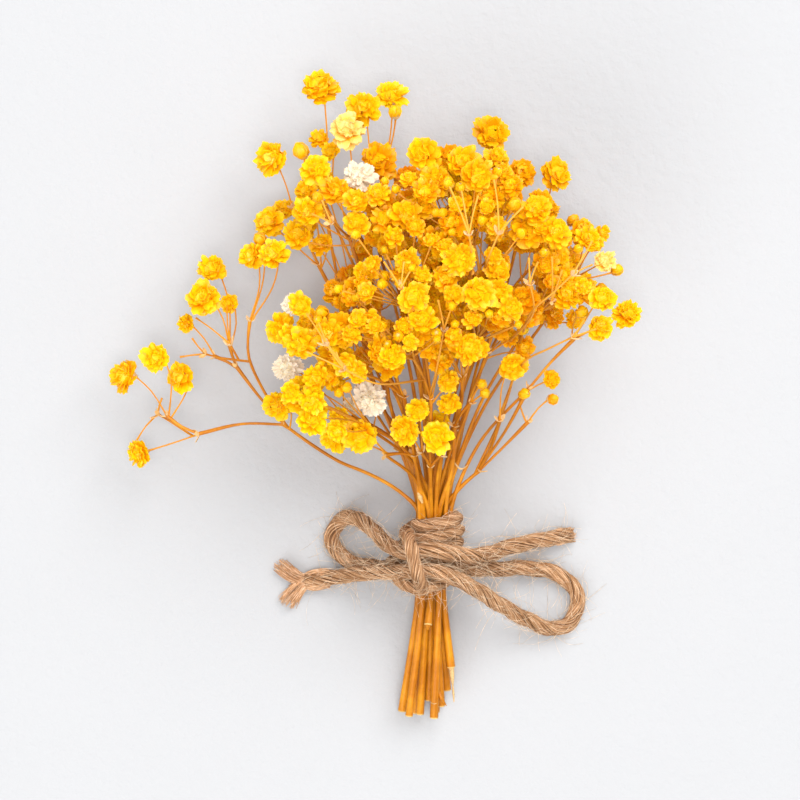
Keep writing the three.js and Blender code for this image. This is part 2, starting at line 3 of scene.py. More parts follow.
import math
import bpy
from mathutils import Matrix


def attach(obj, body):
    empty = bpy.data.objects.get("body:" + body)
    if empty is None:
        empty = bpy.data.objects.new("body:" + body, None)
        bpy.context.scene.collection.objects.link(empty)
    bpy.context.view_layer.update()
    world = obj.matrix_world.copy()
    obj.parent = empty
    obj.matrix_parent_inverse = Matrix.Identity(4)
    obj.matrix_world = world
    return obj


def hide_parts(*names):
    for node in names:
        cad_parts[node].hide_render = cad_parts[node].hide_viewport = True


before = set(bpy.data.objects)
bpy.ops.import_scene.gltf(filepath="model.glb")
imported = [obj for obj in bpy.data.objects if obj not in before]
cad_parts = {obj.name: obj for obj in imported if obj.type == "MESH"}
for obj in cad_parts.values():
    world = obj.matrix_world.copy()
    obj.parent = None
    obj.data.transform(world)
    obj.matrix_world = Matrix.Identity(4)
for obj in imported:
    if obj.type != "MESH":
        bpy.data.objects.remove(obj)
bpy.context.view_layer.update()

from types import SimpleNamespace

import bmesh
import bpy
import numpy as np
from bpy.props import FloatProperty, FloatVectorProperty, IntProperty, PointerProperty
from mathutils import Vector

bl_info = {
    "name": "Dried Bouquet",
    "version": (1, 0, 0),
    "blender": (4, 5, 0),
    "location": "View3D > Sidebar > Bouquet",
    "description": "Dyed baby's breath with a jute bow, grown spray by spray",
    "category": "Object",
}

MM = 0.001  # lengths below are in millimetres, and those that a user may change in metres
FULL_TURN = 2 * math.pi

# ---------------------------------------------------------------- sizes of the layout

# The bunch is laid out on a square sheet that an eye looks down on. A place is the way across the
# sheet, the way down it, both in units of the sheet, and a height in mm.
UNIT = 0.2  # mm for a unit of the sheet at the sheet's own height
SHEET_SIZE = 800
SHEET_CENTRE = (400, 400)
SHEET_Z = 25.0
EYE_Z = 675.0
SENSOR = 36.0
ORIGIN = (-5.1, 0.55)  # where the part's own middle is, from the sheet's

# The collar, where the stems lie side by side.
STEM_PITCH = 1.62  # from one stem to the next
TIE_AT = (431, 550, 11)
TIE_SLOPE = 0.2  # how steeply the stems rise through it
TIE_HALF = 8.0  # half its length

# The stems, and the bends that are tried for each: how far out of the way, and how many round it.
FOOT_RADIUS = 0.86
TIED_RADIUS = 0.64  # of a stem where it is squeezed by the twine
TRUNK_RADIUS = 0.55
BRANCH_RADIUS = 0.46
PEDICEL_RADIUS = 0.3
JOINT_SWELL = 1.5  # how much thicker a stem is at its fork
JOINT_STEP = 0.5  # the stalks of a fork start this far apart
STRAIGHT_WITHIN = 0.4  # a stalk that bends less than this is straight
REACHES = (0, 0.12, 0.24, 0.38)
BENDS = 8
STEM_STEP = 2.0  # between two points of a stem's line
CUT_RIM = 0.24  # how far the pale cut shows on the side of a foot

# The blooms and buds, and how they make room for each other.
CUP_DEPTH = 0.6  # from a bloom's middle down to its stalk, as a share of its radius
BUD_DEPTH = 0.8
PRESSED = 0.78  # how low a bloom may lie on the floor, as a share of its radius
CLEARANCE = 0.34  # between blooms and stems of two sprays
PACKING = 0.8  # how close the blooms of one spray come, as a share of their radii together
SETTLE_ROUNDS = 120
SETTLE_REACH = 5.0  # no tip moves further than this
LIFT_SHARE = 0.3  # how much of its way apart a bloom goes up or down in one round, and aside
SLIP_SHARE = 0.12
HEAD_RADIUS = 40.0
FULL_BLOOM = 3.6  # radius of a bloom that has all its petals
GOLDEN_ANGLE = 2.39996
FLOOR_GAP = 0.05  # petals and scales stay this far above the floor, and the twine's parts by theirs
STRAND_FLOOR = 0.32
BRUSH_FLOOR = 0.12
HAIR_FLOOR = 0.08

# The dye, with painted shade and painted light. Blooms near the middle of the head are painted deeper,
# the lower the more, as the shade they cast on each other; the front blooms near the collar are painted lemon,
# as light.
HEAD_MIDDLE = (14.0, 26.0)
SHADE_WITHIN = (20.0, 32.0)  # full up to the first distance, none from the second
SHADE_HEIGHT = 42.0
LEMON_FROM = 12.0  # a bloom this far up the bunch or more gets none of this painted light
LEMON_SPAN = 16.0
LEMON_ABOVE = 20.0

# Each spray: its name, its place across and up in the collar, its foot, and its main branch. A branch
# is its way on the sheet, its tips as (across, down, height, diameter, kind), and its side branches.
SPRAYS = [
    ["spray_front_left", -1, 1.5, [409, 716, 7.4], [[[414, 455]], [], [
      [[[385, 455]], [[360, 434, 31, 38], [338, 418, 30, 22], [334, 438, 25, 30]], []],
      [[[404, 396]], [], [
        [[[344, 369]], [
          [301, 305, 45, 26], [302, 344, 48, 36], [280, 329, 41, 32], [322, 312, 47, 15, "bud"]], []],
        [[[374, 366]], [[341, 331, 46, 38], [308, 322, 36, 28]], []]]],
      [[[365, 424]], [[308, 389, 36, 34], [319, 408, 33, 22]], []]]]],
    ["spray_front_middle", 0, 1.5, [428, 625, 12.6], [[[430, 466]], [], [
      [[[421, 452]], [[404, 430, 31, 32], [418, 411, 32, 26]], []],
      [[[442, 455]], [[436, 437, 31, 34], [440, 423, 25, 26], [449, 404, 32, 24]], []],
      [[[431, 398]], [[441, 358, 42, 28], [449, 381, 39, 24]], [
        [[[410, 352]], [
          [414, 297, 54, 34], [375, 330, 43, 30], [392, 352, 41, 28], [427, 319, 49, 10, "bud"]], []],
        [[[424, 345]], [[421, 335, 44, 20]], [
          [[[404, 304]], [[407, 262, 51, 28], [424, 278, 49, 24], [401, 283, 51, 14, "bud"],
            [384, 276, 48, 13, "bud"], [369, 273, 45, 12, "bud"]], []]]]]]]]],
    ["spray_front_right", 1, 1.5, [434, 718, 7.4], [[[455, 425]], [], [
      [[[471, 402]], [[482, 384, 37, 12, "bud"], [485, 393, 34, 12, "bud"]], []],
      [[[462, 376]], [[463, 340, 38, 30], [439, 337, 38, 20]], []],
      [[[476, 335]], [[478, 293, 53, 36], [451, 305, 52, 14, "bud"], [454, 317, 45, 24]], [
        [[[456, 305]], [[444, 279, 50, 28], [432, 260, 45, 26]], []],
        [[[481, 278]], [[460, 260, 53, 36], [498, 271, 48, 28]], [
          [[[499, 233]], [[511, 185, 47, 30], [515, 204, 52, 16, "bud"], [496, 158, 42, 28]], []],
          [[[471, 234]], [[465, 192, 45, 30], [448, 181, 49, 12, "bud"], [460, 187, 51, 11, "bud"]], []]]]]]]]],
    ["spray_far_left", -1.5, 0.5, [402, 711, 4.8], [
      [[385, 482], [340, 462], [283, 424]], [[278, 405, 27, 32]], [
      [[[198, 434]], [[139, 453, 14, 28]], [
        [[[166, 415]], [[125, 376, 17, 34], [156, 358, 21, 30], [180, 376, 17, 32]], []]]],
      [[[236, 366]], [], [
        [[[229, 343]], [[203, 297, 25, 36], [212, 269, 21, 30], [229, 303, 20, 20]], []],
        [[[214, 356]], [[186, 324, 21, 20]], []]]],
      [[[249, 358], [250, 320]], [[252, 256, 30, 30], [273, 253, 35, 33], [260, 239, 30, 14, "bud"]], []]]]],
    ["spray_left", -0.5, 0.5, [420, 714, 4.2], [[[398, 440]], [], [
      [[[372, 430]], [[369, 401, 31, 36, "cream"], [351, 407, 27, 20, "cream"]], []],
      [[[340, 412]], [[287, 368, 27, 30, "cream"], [334, 381, 25, 26]], []],
      [[[385, 370]], [[364, 360, 27, 28]], [
        [[[374, 330]], [[369, 301, 33, 30], [352, 275, 27, 26]], []],
        [[[352, 328]], [
          [334, 291, 34, 26], [350, 291, 28, 26], [343, 304, 38, 20], [291, 305, 30, 22, "cream"]], []]]]]]],
    ["spray_middle_right", 0.5, 0.5, [441, 706, 4.8], [[[458, 430]], [], [
      [[[488, 352]], [[502, 308, 39, 30], [499, 327, 34, 24], [509, 337, 30, 22], [524, 348, 27, 24]], []],
      [[[465, 330]], [], [
        [[[474, 275]], [[500, 240, 36, 30], [464, 240, 39, 30], [520, 294, 30, 22]], []],
        [[[450, 235]], [[450, 161, 36, 38], [424, 157, 30, 24], [471, 174, 33, 22], [431, 186, 27, 30],
          [447, 212, 36, 11, "bud"]], []]]]]]],
    ["spray_far_right", 1.5, 0.5, [451, 667, 6.4], [[[480, 470]], [], [
      [[[529, 421]], [[553, 399, 20, 12, "bud"], [524, 394, 24, 12, "bud"]], []],
      [[[500, 420]], [[512, 367, 38, 30]], []],
      [[[529, 388]], [[552, 380, 23, 20]], [
        [[[576, 337]], [[628, 314, 28, 30], [600, 327, 32, 28], [582, 312, 36, 14, "bud"]], []]]],
      [[[519, 350], [537, 311]], [[553, 282, 32, 42], [522, 243, 38, 28]], [
        [[[578, 276]], [[604, 261, 37, 24, "pale"], [596, 243, 33, 18], [617, 270, 29, 12, "bud"],
          [601, 289, 31, 13, "bud"]], []],
        [[[543, 270]], [[548, 245, 43, 34], [560, 239, 35, 28]], []]]]]]],
    ["spray_upper_left", -1, -0.5, [416, 713, 2.6], [[[396, 425], [370, 305]], [], [
      [[[349, 237]], [
        [336, 191, 41, 31], [308, 212, 38, 32], [318, 197, 43, 12, "bud"], [299, 235, 33, 33]], []],
      [[[350, 222]], [[316, 169, 37, 32], [346, 130, 31, 38, "pale"]], []],
      [[[372, 226]], [[378, 162, 29, 40], [364, 108, 25, 37], [359, 176, 34, 34, "cream"]], []]]]],
    ["spray_middle", 0, -0.5, [429, 700, 3.5], [[[422, 400], [410, 312]], [], [
      [[[396, 282]], [[392, 246, 43, 32], [376, 234, 35, 26], [362, 250, 30, 24]], []],
      [[[417, 278]], [
        [410, 247, 38, 22], [428, 245, 41, 26], [394, 226, 40, 11, "bud"], [405, 227, 39, 10, "bud"]], []],
      [[[406, 246]], [[386, 203, 33, 30], [412, 203, 36, 34], [429, 221, 31, 28]], []]]]],
    ["spray_upper_right", 1, -0.5, [447, 690, 2.8], [[[468, 410], [503, 300]], [], [
      [[[518, 238]], [[522, 218, 31, 24], [521, 172, 24, 32], [540, 202, 28, 28]], []],
      [[[548, 252]], [
        [557, 174, 24, 34], [573, 220, 25, 13, "bud"], [582, 231, 27, 30], [602, 234, 22, 20]], []],
      [[[545, 320]], [[569, 260, 25, 26], [554, 316, 24, 26], [575, 320, 22, 22], [583, 288, 25, 30]], []],
      [[[496, 222]], [[492, 134, 25, 38], [488, 217, 24, 26]], []]]]],
    ["spray_back_left", -1.5, -1.5, [404, 708, 1], [[[392, 430], [350, 330]], [], [
      [[[318, 264]], [[269, 222, 22, 34], [322, 244, 22, 24], [306, 191, 27, 24]], [
        [[[292, 207]], [[272, 158, 21, 37], [301, 151, 27, 18, "bud"], [285, 209, 17, 24]], []]]],
      [[[324, 200]], [[320, 87, 20, 40], [319, 139, 18, 22], [331, 151, 22, 20]], []]]]],
    ["spray_under_left", -0.5, -1.5, [425, 640, 3.9], [[[400, 450]], [], [
      [[[350, 372]], [[345, 325, 8, 30], [305, 340, 9, 30], [312, 385, 7, 26]], []],
      [[[352, 300]], [[348, 280, 2.2, 28], [305, 228, 8, 30], [322, 180, 7, 28], [310, 205, 2.2, 28]], []]]]],
    ["spray_under_middle", 0.5, -1.5, [436, 712, 1], [[[428, 420], [408, 340]], [[376, 338, 2.2, 28]], [
      [[[398, 296]], [[372, 305, 8, 28], [395, 250, 7, 30], [416, 302, 7, 28]], []],
      [[[405, 235]], [[410, 200, 7, 30], [380, 165, 8, 28], [408, 177, 18, 26], [357, 190, 19, 20]], [
        [[[388, 150]], [[391, 96, 17, 32], [395, 112, 21, 14, "bud"]], []]]]]]],
    ["spray_under_right", 1.5, -1.5, [446, 640, 3.4], [[[452, 430], [478, 350]], [], [
      [[[490, 318]], [[480, 295, 2.3, 30], [505, 318, 8, 28], [463, 338, 8, 26]], []],
      [[[500, 275]], [[500, 240, 2.3, 30], [462, 262, 11, 26], [510, 190, 8, 28], [455, 168, 7, 30]], []],
      [[[520, 310]], [[552, 284, 8, 30], [545, 246, 7, 28], [548, 208, 8, 26]], []]]]],
]

TWINE_RIGHT_LOOP = [
    [468, 569, 10.2], [484, 569, 8.6], [500, 569, 6.6], [525, 568, 3.6], [552, 572, 2], [571, 584, 1.8],
    [578, 602, 1.8], [570, 622, 1.9], [554, 629, 2.6], [530, 621, 5.4], [500, 605, 10.6], [472, 587, 16.6],
    [457, 579, 18.9], [442, 573, 19.8], [428, 571, 19.8], [413, 571, 18.8], [398, 572, 16.4],
    [380, 572, 12.8], [355, 574, 7.8], [335, 577, 4.4], [318, 580, 2.4], [306, 581, 1.8]]
TWINE_LEFT_LOOP = [
    [394, 568, 9.7], [381, 567, 8], [368, 566, 5.6], [351, 562, 2.8], [338, 553, 1.8], [332, 538, 1.8],
    [337, 524, 1.9], [350, 517, 3.6], [367, 525, 8.2], [385, 542, 13.6], [400, 551, 17.6], [415, 552, 20],
    [431, 550, 21], [449, 552, 20.2], [466, 556, 17.4], [485, 555, 13.6], [510, 547, 9], [540, 540, 4.6],
    [571, 535, 1.8]]
FRAYED_STRANDS = [[[292, 575, 1.7], [275, 561, 1.6]], [[295, 592, 1.7], [284, 608, 1.6]]]
# The knot's strand as it comes out of the winding and goes back in, the one that passes under it, and
# the short lengths that show where each loop comes out.
KNOT_STRAND = [
    [408, 534, 16.2], [409, 539, 21.4], [411, 548, 24.6], [414, 560, 25.2], [417, 573, 24.6],
    [420.5, 584, 21.4], [421, 589, 15.6]]
KNOT_UNDER = [
    [393, 560, 11], [395, 570, 14.4], [401, 580, 16.8], [412, 587, 18.2], [424, 588, 18.2], [436, 583, 17.2],
    [444, 576, 14.5]]
KNOT_RIGHT = [[470, 569, 10.0], [462, 568, 11.2], [450, 566, 13]]
KNOT_LEFT = [[392, 568, 9.4], [400, 567, 10.8], [412, 566, 13]]

# The winding of the collar: its turns, the way from one to the next, its radius and the points on it.
COLLAR_TURNS = 5.3
COLLAR_STEP = 2.5
COLLAR_RADIUS = 5.45
COLLAR_POINTS = 240

CORE_SHARE = 0.78  # radius of the twine's core, painted dark as the shade between the strands, as a share of the twine's
STRAND_RADIUS = 0.2
TIGHT_STRAND_RADIUS = 0.21
TIGHT_THICK = 0.86  # the collar and knot are pulled tight: thinner than the bow, with a shorter twist
TIGHT_PITCH = 0.72
HAIR_RADIUS = 0.04
HAIR_STEPS = 7
TWINE_STEP = 0.55
KNOT_STEP = 0.5
CHART_SHIFT = 7.3  # how far apart on the pattern two lines of a piece start

# The part of the sheet that is filled with more blooms, and the round spots in it that stay open.
HEAD_OUTLINE = [
    (326, 196), (352, 172), (392, 158), (430, 150), (470, 156), (512, 168), (545, 196),
    (570, 226), (604, 250), (606, 296), (574, 328), (536, 336), (508, 350), (470, 352), (440, 348), (402, 352),
    (384, 384), (352, 398), (336, 436), (312, 420), (292, 396), (272, 344), (300, 312), (330, 290),
    (356, 262), (348, 232)]
GAPS = [(524, 273, 9), (506, 346, 11), (548, 338, 14), (389, 302, 7)]
FILL_SEED = 5
FILL_TRIES = 6000
FILL_COUNT = 178
FILL_ACROSS = (262, 604)
FILL_DOWN = (150, 452)
FILL_SIZES = (17, 38)
FILL_BUDS = (9, 13)
FILL_BLOOM_SHARE = 0.8
FILL_OVERLAP = 0.62  # how close two of them come, as a share of their radii together
FILL_REACH = 30  # longest stalk in mm

# The stems beside the trunks: two for each spray but one, which has room for none.
COMPANION_SEED = 6
COMPANIONS = 2
ALONE = "spray_far_left"

# The other seeds. A spray's or cream bloom's number is added to its own.
BOW_SEEDS = (11, 12)
COLLAR_SEED = 21
STEM_SEED = 100
BLOOM_SEED = 200
CREAM_SEED = 300

# Stalks that cross in front of the blooms: spray, the way of the stalk, and the ends it forks to. An
# end with a fourth number is a bud of that diameter.
SPRIGS = [
    ["spray_far_left", [[198, 434, 15], [171, 422, 16], [158, 414, 17]], [[137, 440, 15], [162, 398, 18]]],
    ["spray_far_left", [[236, 366, 24], [222, 358, 22], [205, 354, 20]], [[180, 357, 19], [192, 338, 20]]],
    ["spray_far_left", [[236, 366, 24], [230, 344, 25]], [[196, 318, 22], [227, 306, 21]]],
    ["spray_front_right", [[481, 278, 46], [489, 256, 54], [499, 233, 57]], [[494, 180, 54], [523, 207, 55]]],
    ["spray_front_right", [[478, 280, 46], [472, 256, 54], [469, 234, 57.4]], [
        [448, 183, 56.5, 10], [461, 188, 55, 8], [478, 196, 54.4], [464, 204, 56]]],
    ["spray_far_right", [[519, 350, 30], [534, 309, 48], [554, 292, 52], [573, 274, 53.5]], [
        [592, 241, 50], [592, 265, 49], [584, 254, 52]]],
    ["spray_far_right", [[500, 420, 20], [524, 362, 40], [548, 349, 46], [573, 337, 48]], [
        [596, 329, 46], [584, 320, 48]]],
    ["spray_far_right", [[519, 352, 32], [534, 309, 48], [530, 284, 51]], [[529, 258, 50], [538, 262, 49]]],
    ["spray_upper_right", [[545, 320, 30], [552, 300, 46]], [[552, 257, 52], [562, 270, 48]]],
    ["spray_front_left", [[404, 396, 38], [374, 383, 50], [344, 369, 54]], [
        [326, 343, 56], [307, 352, 53.5], [336, 352, 55]]],
    ["spray_front_left", [[344, 369, 52], [327, 344, 56]], [[307, 314, 51], [318, 320, 53, 9]]],
    ["spray_front_middle", [[404, 304, 46], [401, 288, 54]], [
        [384, 262, 52], [404, 262, 53.5], [412, 268, 54, 9]]],
    ["spray_front_middle", [[431, 398, 34], [436, 372, 44], [444, 330, 50]], [
        [438, 300, 53], [452, 306, 54, 10]]],
    ["spray_upper_left", [[349, 237, 34], [331, 222, 46]], [[322, 200, 47], [312, 214, 45]]],
]

# What hangs from a torn stem: spray, pale core or bark, route and radii.
TORN = [
    ["spray_front_right", "core",
     [[450.6, 452.6, 17.6], [454, 462, 18], [461, 469, 18.4], [468, 465, 18]], [0.1, 0.17, 0.17, 0.06]],
    ["spray_front_left", "core",
     [[417.8, 492.6, 17.2], [420, 497, 16.9], [422.4, 503, 16.4]], [0.14, 0.52, 0.2]],
    ["spray_far_right", "core", [[451, 664, 6.5], [452, 676, 6.1], [452.8, 686, 5.6]], [0.62, 0.5, 0.16]],
    ["spray_far_right", "core", [[452.8, 686, 5.6], [453.4, 693, 5.3], [454, 702, 4.9]], [0.16, 0.24, 0.1]],
    ["spray_front_right", "core",
     [[430.6, 702.4, 8.2], [434, 704, 8.85], [437.6, 702.8, 8.4]], [0.06, 0.09, 0.06]],
    ["spray_front_right", "bark", [[438.4, 691, 7.9], [441.4, 698, 8.2], [446.6, 706, 7.6]], [0.3, 0.42, 0.06]],
    ["spray_front_right", "bark",
     [[430.4, 701, 8.0], [427.6, 696, 8.1], [428.6, 690, 8.0]], [0.08, 0.07, 0.04]],
    ["spray_front_middle", "bark",
     [[428, 622, 12.6], [428, 626.4, 12.5], [428, 630.4, 12.3]], [0.76, 0.5, 0.06]],
]

# ---------------------------------------------------------------- placing


def place(point):
    x, y, z = point
    k = UNIT * (EYE_Z - z) / (EYE_Z - SHEET_Z)
    return np.array([(x - SHEET_CENTRE[0]) * k - ORIGIN[0], (SHEET_CENTRE[1] - y) * k - ORIGIN[1], z], float)


def length(v):
    return math.sqrt(v[0] * v[0] + v[1] * v[1] + v[2] * v[2])


def unit(v):
    return v / max(length(v), 1e-12)


TIE = place(TIE_AT)
TIE_AXIS = unit(np.array([0, 1, TIE_SLOPE]))
TIE_UP = unit(np.array([0, -TIE_SLOPE, 1]))
HEAD_CENTRE = place((430, 300, 14))


def in_collar(across, up, along):
    p = TIE + TIE_AXIS * along + TIE_UP * (up * STEM_PITCH * math.sin(math.pi / 3))
    return p + np.array([across * STEM_PITCH, 0, 0])


def tip_of(spray, x, y, z, diameter, kind="bloom"):
    radius = diameter / 2 * UNIT * (EYE_Z - z) / (EYE_Z - SHEET_Z)
    lean = np.array([math.sin(x * 1.7 + y), math.cos(y * 1.3 - x), 0]) * 0.3
    return SimpleNamespace(
        centre=place((x, y, z)), radius=radius, kind=kind, spray=spray, lean=lean, spin=0.0, low=False)


def grow(branch, spray):
    path, tips, branches = branch
    return SimpleNamespace(
        path=path, tips=[tip_of(spray, *t) for t in tips], branches=[grow(b, spray) for b in branches])


def tips_under(branch):
    found = list(branch.tips)
    for b in branch.branches:
        found += tips_under(b)
    return found


def branches_under(branch):
    found = [branch]
    for b in branch.branches:
        found += branches_under(b)
    return found


def push(a, b):
    """Two blooms that are too close move apart, mostly up and down."""
    grown = a.spray == b.spray and (a.kind == "cream") == (b.kind == "cream")
    apart = (a.radius + b.radius) * (PACKING if grown else 1) + (0 if grown else CLEARANCE)
    dx, dy, dz = (b.c[i] - a.c[i] for i in range(3))
    square = dx * dx + dy * dy + dz * dz
    if square >= apart * apart:
        return
    short = apart - math.sqrt(square)
    aside = math.hypot(dx, dy)
    lift = (math.sqrt(max(0, apart * apart - aside * aside)) - abs(dz)) * LIFT_SHARE
    slip = short * SLIP_SHARE / aside if aside > 0 else 0
    move = (dx * slip, dy * slip, -lift if dz < 0 else lift)
    for i in range(3):
        a.c[i] -= move[i]
        b.c[i] += move[i]
    a.c[2] = max(a.c[2], a.radius * PRESSED)
    b.c[2] = max(b.c[2], b.radius * PRESSED)


def settle(tips):
    for t in tips:
        t.c = [float(v) for v in t.centre]
    near = [
        (a, b)
        for i, a in enumerate(tips)
        for b in tips[i + 1:]
        if length(a.centre - b.centre) < a.radius + b.radius + SETTLE_REACH
    ]
    for _ in range(SETTLE_ROUNDS):
        for a, b in near:
            push(a, b)
    for t in tips:
        t.centre = np.array(t.c)


def facing(tip):
    return unit((tip.centre - HEAD_CENTRE) / HEAD_RADIUS + 0.8 * unit(tip.centre - TIE))


def upward(tip):
    """The axis of the petals: a bloom looks up more than its stalk does, and each a little its own way."""
    return unit(facing(tip) * 0.55 + np.array([0, 0, 0.72]) + tip.lean)


# ---------------------------------------------------------------- routing the stems


def segment_gap(points, a, b):
    """Distances from each point to each segment."""
    d = b - a
    t = ((points[:, None] - a) * d).sum(2) / np.maximum((d * d).sum(1), 1e-9)
    return np.linalg.norm(points[:, None] - (a + np.clip(t, 0, 1)[..., None] * d), axis=2)


def through(points, step):
    """A smooth line through points, sampled about every step mm, with the source point's count at
    each sample."""
    p = [np.asarray(q, float) for q in points]
    p = [2 * p[0] - p[1]] + p + [2 * p[-1] - p[-2]]
    line, at = [], []
    for i in range(1, len(p) - 2):
        a, b, c, d = p[i - 1:i + 3]
        k = [max(length(v) ** 0.5, 1e-6) for v in (b - a, c - b, d - c)]
        m1 = (b - a) / k[0] - (c - a) / (k[0] + k[1]) + (c - b) / k[1]
        m2 = (c - b) / k[1] - (d - b) / (k[1] + k[2]) + (d - c) / k[2]
        m1, m2 = m1 * k[1], m2 * k[1]
        n = max(1, int(math.ceil(length(c - b) / step)))
        last = i == len(p) - 3
        for j in range(n + last):
            t = j / n
            line.append(
                (2 * t ** 3 - 3 * t * t + 1) * b + (t ** 3 - 2 * t * t + t) * m1
                + (3 * t * t - 2 * t ** 3) * c + (t ** 3 - t * t) * m2)
            at.append(i - 1 + t)
    return np.array(line), np.array(at)


def laid(points, step):
    """A smooth line through places on the sheet."""
    return through([place(p[:3]) for p in points], step)[0]


def stem_of(spray, points, kind, radius=1.0):
    return SimpleNamespace(spray=spray, points=points, radii=[radius] * len(points), kind=kind)


class Growth:
    """The stems that are laid so far, and the tips they have to reach."""

    def __init__(self, tips):
        self.tips = tips
        self.stems = []
        self.starts, self.ends, self.thick, self.owner = [], [], [], []

    def lay(self, spray, points, radii, kind):
        self.stems.append(SimpleNamespace(spray=spray, points=points, radii=radii, kind=kind))
        for i in range(1, len(points)):
            self.starts.append(points[i - 1])
            self.ends.append(points[i])
            self.thick.append(max(radii[i - 1], radii[i]))
            self.owner.append(spray)

    def elbow(self, a, b, c, radius, spray, own=None):
        """The middle of the gentlest bend from a to c, by way of about b, that clears the other sprays."""
        way = c - a
        size = length(way)
        side = unit(np.array([way[1], -way[0], 0])) * size
        over = unit(np.cross(way, side)) * size
        balls = [t for t in self.tips if t is not own and (t.spray != spray or t.kind == "cream")]
        centres = np.array([t.centre for t in balls])
        reach = np.array([t.radius for t in balls]) + radius
        keep = [i for i, o in enumerate(self.owner) if o != spray]
        starts = np.array([self.starts[i] for i in keep]).reshape(-1, 3)
        ends = np.array([self.ends[i] for i in keep]).reshape(-1, 3)
        thick = np.array([self.thick[i] for i in keep]) + radius
        best, most = None, -math.inf
        for far in REACHES:
            for k in range(BENDS if far else 1):
                turn = k / BENDS * FULL_TURN
                knee = b + side * (math.cos(turn) * far) + over * (math.sin(turn) * far)
                middle = (a + c) * 0.25 + knee * 0.5
                probes = [middle]
                for n in range(1, 5):
                    probes += [a + (middle - a) * (n / 5), middle + (c - middle) * (n / 5)]
                probes = np.array(probes)
                room = (probes[:, 2] - radius + CLEARANCE).min()
                room = min(room, (np.linalg.norm(probes[:, None] - centres, axis=2) - reach).min())
                if len(starts):
                    room = min(room, (segment_gap(probes, starts, ends) - thick).min())
                if best is None or room > most:
                    best, most = middle, room
                if room > CLEARANCE:
                    return best
        return best

    def lay_branch(self, branch, start, ahead, spray, trunk):
        thick, thin = (TIED_RADIUS, TRUNK_RADIUS) if trunk else (BRANCH_RADIUS, BRANCH_RADIUS)
        points = [spray.foot, spray.low, start] if trunk else [start]
        radii = [FOOT_RADIUS, TIED_RADIUS, TIED_RADIUS] if trunk else [BRANCH_RADIUS]
        last, along = start, ahead
        for fork in fork_points(branch, start):
            way = fork - last
            knee = last + along * (length(way) * 0.18) + way * 0.32
            middle = self.elbow(last, knee, fork, thick, spray.index)
            points += [middle, fork]
            radii += [thin, thin]
            along = unit(fork - middle)
            last = fork
        radii[-1] *= JOINT_SWELL
        self.lay(spray.index, points, radii, "trunk" if trunk else "branch")
        branch.fork, branch.ahead = last, along
        for n, child in enumerate(branch.branches):
            self.lay_branch(child, start_on(branch, n), along, spray, False)

    def lay_pedicels(self, branch, spray):
        for n, tip in enumerate(branch.tips):
            face = facing(tip)
            cup = (BUD_DEPTH if tip.kind == "bud" else CUP_DEPTH) * tip.radius
            seat = tip.centre - face * (cup + (CLEARANCE if tip.kind == "cream" else 0))
            start = start_on(branch, len(branch.branches) + n)
            knee = seat - face * (0.35 * length(seat - start))
            middle = self.elbow(start, knee, seat, PEDICEL_RADIUS, spray.index, tip)
            straight = segment_gap(middle[None], start[None], seat[None])[0, 0] < STRAIGHT_WITHIN
            tip.stalk = [seat, start] if straight else [seat, middle, start]
            self.lay(spray.index, tip.stalk, [PEDICEL_RADIUS] * len(tip.stalk), "pedicel")
        for child in branch.branches:
            self.lay_pedicels(child, spray)


def fork_points(branch, start):
    middle = np.mean([t.centre for t in tips_under(branch)], axis=0)
    last, found = start, []
    for x, y in branch.path:
        p = place((x, y, last[2]))
        for _ in range(3):
            done = math.hypot(p[0] - last[0], p[1] - last[1])
            left = math.hypot(p[0] - middle[0], p[1] - middle[1])
            p = place((x, y, last[2] + (middle[2] - last[2]) * done / (done + left)))
        last = p
        found.append(p)
    return found


def start_on(branch, n):
    return branch.fork - branch.ahead * ((n + 0.4) * JOINT_STEP)


def grow_bouquet():
    sprays = []
    for index, (name, across, up, foot, branch) in enumerate(SPRAYS):
        sprays.append(SimpleNamespace(
            name=name, index=index, foot=place(foot),
            low=in_collar(across, up, -TIE_HALF), high=in_collar(across, up, TIE_HALF),
            branch=grow(branch, index)))
    tips = [t for s in sprays for t in tips_under(s.branch)]
    settle(tips)
    growth = Growth(tips)
    for s in sprays:
        growth.lay_branch(s.branch, s.high, TIE_AXIS, s, True)
    for s in sprays:
        growth.lay_pedicels(s.branch, s)
    return sprays, tips, growth.stems


# ---------------------------------------------------------------- more blooms and stalks


def inside(x, y, outline):
    hit = False
    for (x0, y0), (x1, y1) in zip(outline, outline[1:] + outline[:1]):
        if (y0 > y) != (y1 > y) and x < x0 + (y - y0) / (y1 - y0) * (x1 - x0):
            hit = not hit
    return hit


def nearest_fork(tip, forks, feet):
    """The branch and spray that a new bloom's stalk can start from: near, and not ahead of it."""
    way = tip.centre - feet
    far = np.linalg.norm(way, axis=1)
    along = way @ unit(tip.centre - TIE) / np.maximum(far, 1e-6)
    cost = far + np.where(along < 0.55, 60, 0)
    best = int(np.argmin(cost))
    return forks[best] if cost[best] <= FILL_REACH else None


